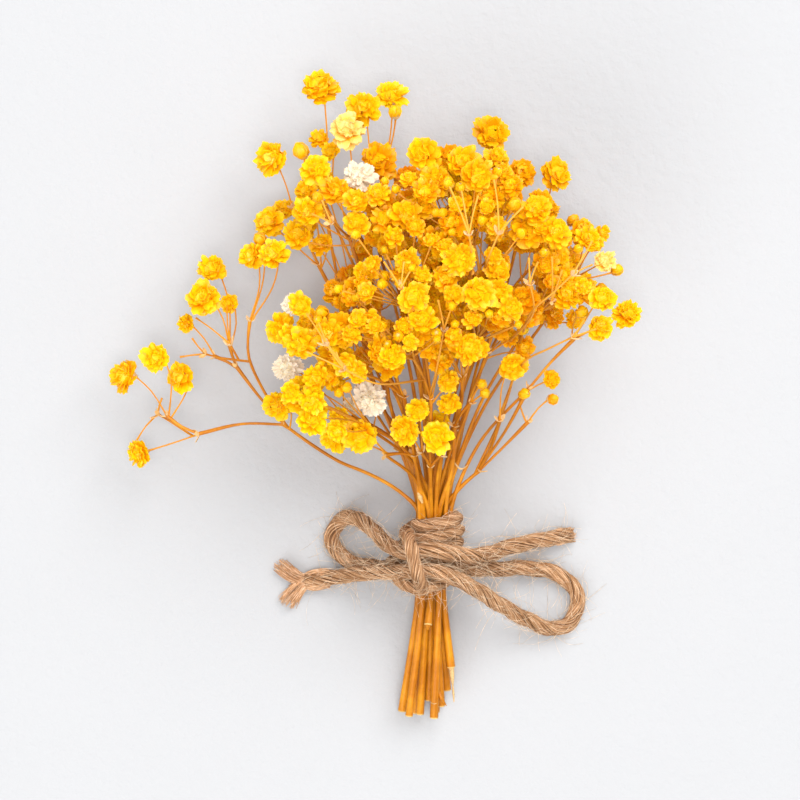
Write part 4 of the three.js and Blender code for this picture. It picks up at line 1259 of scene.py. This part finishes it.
def stem_finish(name, colour, pale):
    """Dyed stems: ochre with long lighter and darker streaks and a dull wax."""
    f = Finish(name)
    here = f.here()
    streaks = f.drawn_out("streaks", f.wound(), (1.6, 1.6, 0.16), 3, 0.6)
    patches = f.noise("patches", here, 110, 3, 0.6)
    specks = f.noise("specks", here, 1400, 2, 0.6)
    base = f.ramp("patchy dye", [(0.32, rgba(colour, 0.82)), (0.5, colour), (0.7, pale)], patches)
    lined = f.shaded(
        "streaked", 0.7, base, "streak tone", [(0.34, (0.74, 0.6, 0.42)), (0.58, (1, 1, 1))], streaks)
    spotted = f.shaded(
        "specked", 0.3, lined, "speck tone", [(0.3, (0.65, 0.52, 0.4)), (0.48, (1, 1, 1))], specks)
    # Painted light: the stems are painted paler the higher they lie above the floor.
    height = f.add(
        "MapRange", "height above the floor", Value=f.add("SeparateXYZ", "height", Vector=here).outputs[2],
        From_Min=0.032, From_Max=0.056, To_Min=0.0, To_Max=0.65)
    return f.surface(
        Base_Color=f.mix("painted light higher up", height.outputs[0], spotted, rgba((0.86, 0.46, 0.06))),
        Roughness=f.ramp("sheen", [(0.3, (0.34,) * 3), (0.7, (0.55,) * 3)], streaks),
        Normal=f.bump("ridges", 0.5, 0.0001, streaks), Specular_IOR_Level=0.28,
        Subsurface_Weight=0.12, Subsurface_Radius=(1.0, 0.6, 0.2), Subsurface_Scale=0.0003)


def paper_finish(name, dry, dyed):
    """Calyx cups and scales: dyed where the tint says so, otherwise dry and pale."""
    f = Finish(name)
    mottle = f.noise("mottle", f.here(), 1500, 3, 0.6)
    base = f.mix("dry or dyed", f.tints("scale tint")[2], dyed, dry)
    colour = f.shaded("mottled", 0.7, base, "mottle tone", [(0.3, (0.7, 0.6, 0.45)), (0.6, (1, 1, 1))], mottle)
    return f.surface(
        Base_Color=colour, Roughness=0.7, Normal=f.bump("crinkle", 0.6, 0.00008, mottle),
        Subsurface_Weight=0.2, Subsurface_Radius=(1.0, 0.6, 0.2), Subsurface_Scale=0.0005)


def cut_finish(name, colour):
    """The pale pith on a cut end."""
    f = Finish(name)
    grain = f.noise("pith", f.here(), 2600, 3, 0.7)
    return f.surface(
        Base_Color=f.ramp("pith tone", [(0.3, rgba(colour, 0.55)), (0.65, colour)], grain), Roughness=0.8,
        Normal=f.bump("pith relief", 0.6, 0.0001, grain))


def jute_finish(name, colour, light, gap):
    """Jute strands: long pale and brown fibres side by side, the pale ones partly a painted highlight, with
    dark gaps here and there that are painted shade.
    """
    f = Finish(name)
    chart = f.wound()
    fibres = f.drawn_out("fibres", chart, (1.3, 1.3, 0.3), 4, 0.7)
    broad = f.drawn_out("strands", chart, (0.5, 0.5, 0.16), 3, 0.6)
    patches = f.noise("patches", f.here(), 260, 3, 0.6)
    # Painted shade: the gap colour is the shade in the cracks between fibres; the light colour is partly a
    # painted highlight.
    base = f.ramp("fibre tone", [(0.34, gap), (0.42, rgba(colour, 0.75)), (0.5, colour), (0.62, light)], fibres)
    plied = f.shaded(
        "strand tone", 0.7, base, "strand shade",
        [(0.38, (0.5, 0.4, 0.3)), (0.5, (0.9, 0.86, 0.8)), (0.62, (1.15, 1.15, 1.15))], broad)
    aged = f.shaded(
        "patched", 0.5, plied, "patch shade", [(0.35, (0.8, 0.72, 0.62)), (0.65, (1.08, 1.08, 1.08))], patches)
    return f.surface(
        Base_Color=aged, Roughness=0.82, Normal=f.bump("fibre relief", 0.8, 0.0002, fibres),
        Specular_IOR_Level=0.25)


def fibre_finish(name, dark, colour, light):
    """Loose jute fibres, no two of one tone."""
    f = Finish(name)
    tone = f.drawn_out("fibre tone", f.wound(), (0.05, 0.05, 0.33), 2, 0.6)
    colours = f.ramp("fibre colours", [(0.36, dark), (0.48, colour), (0.62, light)], tone)
    return f.surface(Base_Color=colours, Roughness=0.55, Specular_IOR_Level=0.4)


def floor_finish(name, colour):
    """Pale plaster, nearly even."""
    f = Finish(name)
    here = f.here()
    tone = f.noise("plaster", here, 40, 4, 0.6)
    grain = f.noise("plaster grain", here, 420, 3, 0.6)
    return f.surface(
        Base_Color=f.ramp("plaster tone", [(0.2, rgba(colour, 0.985)), (0.8, colour)], tone),
        Roughness=0.75, Specular_IOR_Level=0.2, Normal=f.bump("plaster relief", 0.6, 0.0005, grain))


def finish_of(name, make, *values):
    """A finish is made once and shared."""
    return bpy.data.materials.get(name) or make(name, *values)


def twine_finish(name, sizes):
    """The finish of a part of the twine, with its three colours."""
    make, *colours = {
        "twine_strand": (jute_finish, (sizes.jute, 1), (sizes.light, 1), (sizes.gap, 1)),
        # The core is painted dark: painted shade in the valleys between the strands.
        "twine_core": (jute_finish, (sizes.gap, 1), (sizes.jute, 0.5), (sizes.gap, 0.6)),
        "frayed_end": (fibre_finish, (sizes.jute, 0.8), (sizes.jute, 1.25), (sizes.light, 0.95)),
        "loose_fibre": (fibre_finish, (sizes.pale, 0.4), (sizes.pale, 0.8), (sizes.pale, 1.3)),
    }[name]
    return finish_of(name, make, *(rgba(*colour) for colour in colours))


# ---------------------------------------------------------------- what a user may change


def swatch(name, description, default):
    return FloatVectorProperty(name=name, description=description, default=default, subtype="COLOR", size=3)


def number(kind, name, description, default, least, most, **more):
    return kind(name=name, description=description, default=default, min=least, max=most, **more)


def metres(name, description, default, least, most, digits=5):
    return number(FloatProperty, name, description, default, least, most, unit="LENGTH", precision=digits)


def watts(name, description, default):
    return number(FloatProperty, name, description, default, 0, 200, unit="POWER")


class FlowerSizes(bpy.types.PropertyGroup):
    crowd: number(IntProperty, "Petals", "Petals of a full bloom", 38, 12, 80)
    frill: number(FloatProperty, "Frill", "Waves of the petals, as a share of a bloom's radius", 0.085, 0, 0.3)
    wall: metres("Petal wall", "Thickness of a petal", 0.00013, 0.00003, 0.0005)
    edge: swatch("Petal tip", "Dye at the tip of a petal", (0.98, 0.52, 0.003))
    middle: swatch("Petal middle", "Dye half-way down a petal", (0.93, 0.345, 0.001))
    # The claw colour is the dye darkened by painted shade.
    claw: swatch("Petal claw", "Dye and painted shade at the foot of a petal", (0.86, 0.17, 0.0005))
    faded: swatch("Faded petal", "Tip of a petal that took little dye", (1.0, 0.70, 0.22))
    cream: swatch("Cream petal", "Tip of an undyed petal", (0.93, 0.83, 0.68))


class StemSizes(bpy.types.PropertyGroup):
    trunk: metres("Trunk radius", "Radius of a main stem above its first bend", 0.0004, 0.0001, 0.002)
    pedicel: metres("Pedicel radius", "Radius of the thin stalk under a bloom", 0.00016, 0.00008, 0.001)
    branch: metres("Branch radius", "Radius of a side branch", 0.00029, 0.0001, 0.002)
    dye: swatch("Stem dye", "Colour of the stems", (0.56, 0.195, 0.004))
    light: swatch("Stem light", "Colour of the stems where the dye is thin", (0.76, 0.325, 0.012))
    stalk: swatch("Stalk dye", "Colour of the thin stalks", (0.72, 0.30, 0.012))
    dry: swatch("Scale", "Colour of the dry scales at the forks", (0.84, 0.6, 0.32))


class TwineSizes(bpy.types.PropertyGroup):
    diameter: metres("Twine", "Diameter of the twine", 0.0034, 0.001, 0.01, 4)
    pitch: metres("Twist", "Length of one turn of a ply", 0.021, 0.004, 0.05, 4)
    strands: number(IntProperty, "Strands", "Coarse strands in the twine", 33, 6, 40)
    fibres: number(FloatProperty, "Fibres", "Loose fibres on a centimetre of twine", 60, 0, 300)
    jute: swatch("Jute", "Colour of the twine", (0.5, 0.265, 0.125))
    # The pale fibres, partly a painted highlight on the strands.
    light: swatch("Light fibre", "Colour of the pale fibres", (0.84, 0.58, 0.38))
    pale: swatch("Loose fibre", "Colour of the loose fibres", (0.86, 0.64, 0.43))
    # Painted shade: the dark between the plies and the fibres.
    gap: swatch("Ply gap", "Painted shade between two plies", (0.2, 0.095, 0.042))


class StageSizes(bpy.types.PropertyGroup):
    floor: metres("Floor", "Side of the floor", 6.0, 1, 20, 2)
    paint: swatch("Floor colour", "Colour of the floor", (0.472, 0.474, 0.482))
    key: watts("Window light", "Power of the large light", 11.0)
    front: watts("Front light", "Power of the light over the camera", 8.5)
    fill: watts("Fill light", "Power of the light from the other side", 5.6)
    sky: number(FloatProperty, "Room light", "Strength of the light from all round", 0.62, 0, 5)


# ---------------------------------------------------------------- the pieces


def settled(obj, *nodes, slot, degrees=None):
    """Attaches a piece: hides the parts that it stands for, sets its body and smooths its edges by an angle.
    Its slot is not used.
    """
    for n in nodes:
        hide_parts(n)
    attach(obj, "root")
    if degrees:
        smooth(obj, degrees)
    return obj


# Each light: its name, its place and its side in metres.
LIGHTS = (
    ("window", (0.35, 0.55, 0.9), 0.8),
    ("fill", (-0.45, -0.6, 0.75), 0.8),
    ("front", (0.02, -0.1, 1.4), 0.4),
)
SKY = (0.97, 0.98, 1.0, 1)


class StageOperator(bpy.types.Operator):
    """Puts down the floor, the soft lights and the camera"""
    bl_idname = "bouquet.stage"
    bl_label = "Floor, lights and camera"

    def execute(self, context):
        sizes = context.scene.bouquet_stage
        deselect()
        bpy.ops.mesh.primitive_plane_add(size=sizes.floor, location=(0, 0, 0))
        floor = context.object
        floor.name = "floor"
        floor.data.materials.append(floor_finish("floor_paint", rgba(sizes.paint)))
        for (name, place_at, side), power in zip(LIGHTS, (sizes.key, sizes.fill, sizes.front)):
            bpy.ops.object.light_add(type="AREA", location=place_at)
            light = context.object
            light.name = name
            light.data.size = side
            light.data.energy = power
            light.rotation_euler = (-Vector(place_at)).to_track_quat("-Z", "Y").to_euler()
        world = context.scene.world or bpy.data.worlds.new("room")
        context.scene.world = world
        world.use_nodes = True
        sky = world.node_tree.nodes["Background"]
        sky.inputs["Color"].default_value = SKY
        sky.inputs["Strength"].default_value = sizes.sky
        bpy.ops.object.camera_add(location=(-ORIGIN[0] * MM, -ORIGIN[1] * MM, EYE_Z * MM), rotation=(0, 0, 0))
        camera = context.object
        camera.data.sensor_width = SENSOR
        camera.data.lens = SENSOR * (EYE_Z - SHEET_Z) / (SHEET_SIZE * UNIT)
        camera.data.clip_start = 0.01
        context.scene.camera = camera
        context.scene.view_settings.view_transform = "Standard"
        return {"FINISHED"}


def twine(names, nodes, line, swell, radius, wound, depth, sizes):
    """A length of twine as two pieces, a core painted dark as the shade between the strands, and the strands
    that are wound round it.
    """
    pieces = []
    for name, lines, thick, sides, finish, degrees in (
        (names[0], [(line, swell, 0)], radius * CORE_SHARE, 2, "twine_core", 60),
        (names[1], wound, depth, 0, "twine_strand", 100),
    ):
        piece = drawn(name, lines, thick, sides, twine_finish(finish, sizes))
        pieces.append(settled(piece, *nodes, slot="jute", degrees=degrees))
    return pieces


def loose(name, fibres, finish, sizes):
    """A piece of fine fibres that come off the twine."""
    return settled(drawn(name, fibres, HAIR_RADIUS, 0, twine_finish(finish, sizes)), slot="jute")


class BowOperator(bpy.types.Operator):
    """Makes the two lengths of twine that form the bow, with their cut and frayed ends"""
    bl_idname = "bouquet.bow"
    bl_label = "Bow"

    def execute(self, context):
        sizes = context.scene.bouquet_twine
        radius = sizes.diameter / MM / 2
        pitch = sizes.pitch / MM
        for seed, side, points in zip(BOW_SEEDS, ("right", "left"), (TWINE_RIGHT_LOOP, TWINE_LEFT_LOOP)):
            rng = np.random.default_rng(seed)
            line = laid(points, TWINE_STEP)
            swell = uneven(len(line), rng, 0.02, 14)
            swell[-2:] *= (0.85, 0.4)
            wound = strands(line[::-2][::-1], radius, pitch, sizes.strands, rng)
            loop, wound = twine(
                (f"bow_{side}_loop", f"bow_{side}_strands"), [f"twine_{side}_loop"], line, swell, radius, wound,
                STRAND_RADIUS, sizes)
            size = float(paces(line).sum())
            hairs = fuzz(line, radius, int(size / 10 * sizes.fibres), rng, 10)
            ahead = unit(line[-1] - line[-4])
            across = unit(np.cross(ahead, (0, 0, 1)))
            ends = []
            if side == "right":
                for end, tip, aside in zip(FRAYED_STRANDS, (1.75, 2.1), (-0.35, 0.35)):
                    route = [line[-12] + across * aside * 0.5, line[-3] + across * aside, *map(place, end)]
                    ends += brush(route, 1.75, tip, 70, rng, 4.2)
                    ends += brush(route, 1.85, tip * 1.25, 80, rng, 1.7)
            else:
                ends += brush([line[-8], line[-2], line[-1] + ahead * 1.3], 1.75, 1.7, 120, rng, 3.2)
            frayed = loose(f"bow_{side}_frayed", ends, "frayed_end", sizes)
            fibres = loose(f"bow_{side}_fibres", hairs, "loose_fibre", sizes)
        return {"FINISHED"}


def collar_line(rng):
    """The winding round the stems, which leans with the tie and tucks its ends under."""
    drift = uneven(COLLAR_POINTS, rng, 0.03, 20)
    line = []
    for i in range(COLLAR_POINTS):
        done = i / (COLLAR_POINTS - 1)
        angle = FULL_TURN * COLLAR_TURNS * done + 0.6
        out = COLLAR_RADIUS * drift[i] - 1.6 * max(0, 1 - min(done, 1 - done) * 14)
        p = TIE + TIE_AXIS * ((done - 0.5) * COLLAR_TURNS * COLLAR_STEP + 1.1 * math.cos(angle))
        line.append(p + np.array([math.cos(angle), 0, 0]) * out + TIE_UP * math.sin(angle) * out)
    return np.array(line)


class CollarOperator(bpy.types.Operator):
    """Winds the twine round the stems and lays the knot over it"""
    bl_idname = "bouquet.collar"
    bl_label = "Collar and knot"

    def execute(self, context):
        sizes = context.scene.bouquet_twine
        radius = sizes.diameter / MM / 2 * TIGHT_THICK
        pitch = sizes.pitch / MM * TIGHT_PITCH
        rng = np.random.default_rng(COLLAR_SEED)
        hairs = []
        for name, line, nodes, count in (
            ("collar_winding", collar_line(rng), ["twine_collar"], 640),
            ("knot_band", laid(KNOT_STRAND, KNOT_STEP), ["twine_knot"], 40),
            ("knot_under", laid(KNOT_UNDER, KNOT_STEP), [], 40),
            ("knot_right", laid(KNOT_RIGHT, KNOT_STEP), [], 30),
            ("knot_left", laid(KNOT_LEFT, KNOT_STEP), [], 30),
        ):
            swell = uneven(len(line), rng, 0.03, 12)
            wound = strands(line, radius, pitch, sizes.strands - 3, rng)
            twine((name, name + "_strands"), nodes, line, swell, radius, wound, TIGHT_STRAND_RADIUS, sizes)
            hairs += fuzz(line, radius, count, rng, 5)
        loose("collar_fibres", hairs, "loose_fibre", sizes)
        return {"FINISHED"}


# Flat petals and scales: their widths from the claw up, and how far the tip is nicked back.
FLAT_PETALS = {
    "outer": ([0.26, 0.72, 1.04, 0.9], [0.13, 0.0, 0.05, 0.005, 0.14]),
    "inner": ([0.28, 0.92, 0.9], [0.12, 0.0, 0.035, 0.13]),
    "heart": ([0.4, 1.0, 0.8, 0.3], [0.06, 0.0, 0.06]),
    "bud": ([0.35, 0.9, 1.0, 0.85, 0.3], [0.06, 0.0, 0.06]),
    "bract": ([0.7, 1.0, 0.45], [0.2, 0.0, 0.2]),
}


def flat_petals(sizes, *names):
    return {name: model_petal(*FLAT_PETALS[name], sizes.wall / MM) for name in names}


def stem_radii(stem, at, sizes):
    """The radii of a stem at its samples, thinner than the solids' and swollen at its fork."""
    branch = sizes.branch / MM
    pedicel = sizes.pedicel / MM
    trunk = sizes.trunk / MM
    own = np.interp(at, np.arange(len(stem.radii)), stem.radii)
    if stem.kind == "companion":
        return np.interp(at, [0, 1, 2, 3], [0.5, 0.46, branch * 1.15, branch])
    if stem.kind == "branch":
        return own * (branch / BRANCH_RADIUS)
    if stem.kind == "pedicel":
        own = own * (pedicel / PEDICEL_RADIUS)
        own[-2:] *= 1.25
        own[0] *= 1.5
        return own
    if stem.kind == "sprig":
        own = np.linspace(branch * 0.9, branch * 0.6, len(at))
    else:
        own = np.interp(
            at, [0, 1, 2, 2.6, 3, len(stem.points) - 1],
            [FOOT_RADIUS, 0.66, 0.56, 1.2 * trunk, trunk, 0.85 * trunk])
    own[-1] *= JOINT_SWELL
    return own


def stem_lines(spray, sizes, rng, stalks):
    """The smooth lines of a spray's stems, or of its stalks, with their radii."""
    lines = []
    for stem in GROWN.stems:
        if stem.spray != spray.index or (stem.kind == "pedicel") != stalks:
            continue
        points = list(stem.points)
        if stalks and len(points) == 3:
            points[1] = points[1] * 0.45 + (points[0] + points[2]) * 0.275
        line, at = through(points, STEM_STEP)
        radii = stem_radii(stem, at, sizes) * uneven(len(line), rng, 0.035, 5)
        if stem.kind == "trunk":
            line = np.insert(line, 1, line[0] + unit(line[1] - line[0]) * CUT_RIM, axis=0)
            radii = np.insert(radii, 1, radii[0])
        line[:, 2] = np.maximum(line[:, 2], radii * 0.9)
        lines.append((line, radii, rng.uniform(0, 6)))
    return lines


class StemsOperator(bpy.types.Operator):
    """Draws the stems of every spray with their joints, scales and calyx cups"""
    bl_idname = "bouquet.stems"
    bl_label = "Stems"

    def execute(self, context):
        sizes = context.scene.bouquet_stems
        wood = finish_of("stem_dye", stem_finish, rgba(sizes.dye), rgba(sizes.light))
        stalk = finish_of("stalk_dye", stem_finish, rgba(sizes.stalk), rgba(sizes.light, 1.12))
        paper = finish_of("dry_scale", paper_finish, rgba(sizes.dry), rgba(sizes.light))
        pith = finish_of("cut_pith", cut_finish, (0.78, 0.5, 0.16, 1))
        core = finish_of("torn_core", cut_finish, (0.8, 0.52, 0.22, 1))
        scale = flat_petals(context.scene.bouquet_flowers, "bract")["bract"]
        for spray in GROWN.sprays:
            rng = np.random.default_rng(STEM_SEED + spray.index)
            stems = drawn(f"{spray.name}_stems", stem_lines(spray, sizes, rng, False), 1.0, 2, wood)
            stalks = drawn("stalks", stem_lines(spray, sizes, rng, True), 1.0, 1, stalk)
            gathering = Gathering()
            for tip in tips_of(spray):
                calyx(gathering, scale, tip, rng)
            for branch in branches_under(spray.branch) + [f for f in GROWN.forks if f.spray == spray.index]:
                bracts(gathering, scale, branch, rng)
            join(stems, stalks, gathering.piece("scales", paper))
            paint_cut(stems, spray, pith)
            tear(stems, spray, {"bark": wood, "core": core})
            settled(stems, spray.name, slot="dyed_flowers", degrees=55)
        return {"FINISHED"}


def paint_cut(stems, spray, pith):
    """The cut at the foot of the trunk shows its pith, on its flat end and on a narrow rim."""
    stems.data.materials.append(pith)
    foot = Vector(spray.foot * MM)
    away = Vector(unit(spray.foot - spray.low))
    index = len(stems.data.materials) - 1
    for polygon in stems.data.polygons:
        off = polygon.center - foot
        if off.length < 1.3 * FOOT_RADIUS * MM and abs(off.dot(away)) < 0.7 * CUT_RIM * MM:
            polygon.material_index = index


def tear(stems, spray, materials):
    """Joins the torn bark and the bare cores that hang from a spray's stem to it."""
    for name, kind, way, radii in TORN:
        if name == spray.name:
            line, at = through([place(p) for p in way], 0.6)
            thick = np.interp(at, range(len(radii)), radii)
            join(stems, drawn("shred", [(line, thick, 0)], 1.0, 2, materials[kind]))


class BloomsOperator(bpy.types.Operator):
    """Opens the yellow blooms and closes the buds of every spray"""
    bl_idname = "bouquet.blooms"
    bl_label = "Blooms and buds"

    def execute(self, context):
        sizes = context.scene.bouquet_flowers
        dyes = [rgba(colour) for colour in (sizes.edge, sizes.middle, sizes.claw, sizes.faded)]
        dyed = finish_of("dyed_petal", petal_finish, *dyes, 0.27)
        models = flat_petals(sizes, "outer", "inner", "heart", "bud")
        for spray in GROWN.sprays:
            rng = np.random.default_rng(BLOOM_SEED + spray.index)
            gathering = Gathering()
            for tip in tips_of(spray):
                tip.spin = rng.uniform(0, FULL_TURN)
                if tip.kind == "bud":
                    bud(gathering, models["bud"], tip, rng)
                elif tip.kind != "cream":
                    bloom(gathering, models, tip, rng, sizes.crowd, sizes.frill)
            blooms = gathering.piece(f"{spray.name}_blooms", dyed)
            settled(blooms, spray.name, slot="dyed_flowers", degrees=50)
        return {"FINISHED"}


class CreamOperator(bpy.types.Operator):
    """Opens the cream blooms"""
    bl_idname = "bouquet.cream_blooms"
    bl_label = "Cream blooms"

    def execute(self, context):
        sizes = context.scene.bouquet_flowers
        cream = rgba(sizes.cream)
        # The cream claw colour is darker too, partly as painted shade.
        undyed = finish_of(
            "cream_petal", petal_finish, cream, (0.97, 0.86, 0.69, 1), (0.95, 0.76, 0.55, 1), cream, 0.6,
            (1.0, 0.85, 0.7))
        models = flat_petals(sizes, "outer", "inner", "heart")
        for i, tip in enumerate(t for t in GROWN.tips if t.kind == "cream"):
            rng = np.random.default_rng(CREAM_SEED + i)
            gathering = Gathering()
            tip.spin = rng.uniform(0, FULL_TURN)
            bloom(gathering, models, tip, rng, sizes.crowd, sizes.frill)
            piece = gathering.piece(f"cream_petals_{i + 1}", undyed)
            settled(piece, f"cream_bloom_{i + 1}", slot="cream_flowers", degrees=50)
        return {"FINISHED"}


class BouquetPanel(bpy.types.Panel):
    """The bouquet's pieces and their sizes"""
    bl_idname = "VIEW3D_PT_bouquet"
    bl_label = "Dried bouquet"
    bl_space_type = "VIEW_3D"
    bl_region_type = "UI"
    bl_category = "Bouquet"

    def draw(self, context):
        for group, operators in PANEL_ROWS:
            box = self.layout.box()
            for key in getattr(context.scene, group).__annotations__:
                box.prop(getattr(context.scene, group), key)
            for operator in operators:
                box.operator(operator.bl_idname)


PANEL_ROWS = (
    ("bouquet_stage", (StageOperator,)),
    ("bouquet_twine", (BowOperator, CollarOperator)),
    ("bouquet_stems", (StemsOperator,)),
    ("bouquet_flowers", (BloomsOperator, CreamOperator)),
)
GROUPS = {
    "bouquet_stage": StageSizes, "bouquet_twine": TwineSizes,
    "bouquet_stems": StemSizes, "bouquet_flowers": FlowerSizes,
}
OPERATORS = (StageOperator, BowOperator, CollarOperator, BloomsOperator, CreamOperator, StemsOperator)


def register():
    for name, group in GROUPS.items():
        bpy.utils.register_class(group)
        setattr(bpy.types.Scene, name, PointerProperty(type=group))
    for c in OPERATORS + (BouquetPanel,):
        bpy.utils.register_class(c)


def unregister():
    for c in (BouquetPanel,) + OPERATORS[::-1]:
        bpy.utils.unregister_class(c)
    for name, group in GROUPS.items():
        delattr(bpy.types.Scene, name)
        bpy.utils.unregister_class(group)


def main():
    register()
    bpy.ops.bouquet.stage()
    bpy.ops.bouquet.bow()
    bpy.ops.bouquet.collar()
    bpy.ops.bouquet.blooms()
    bpy.ops.bouquet.cream_blooms()
    bpy.ops.bouquet.stems()


if __name__ == "__main__":
    main()
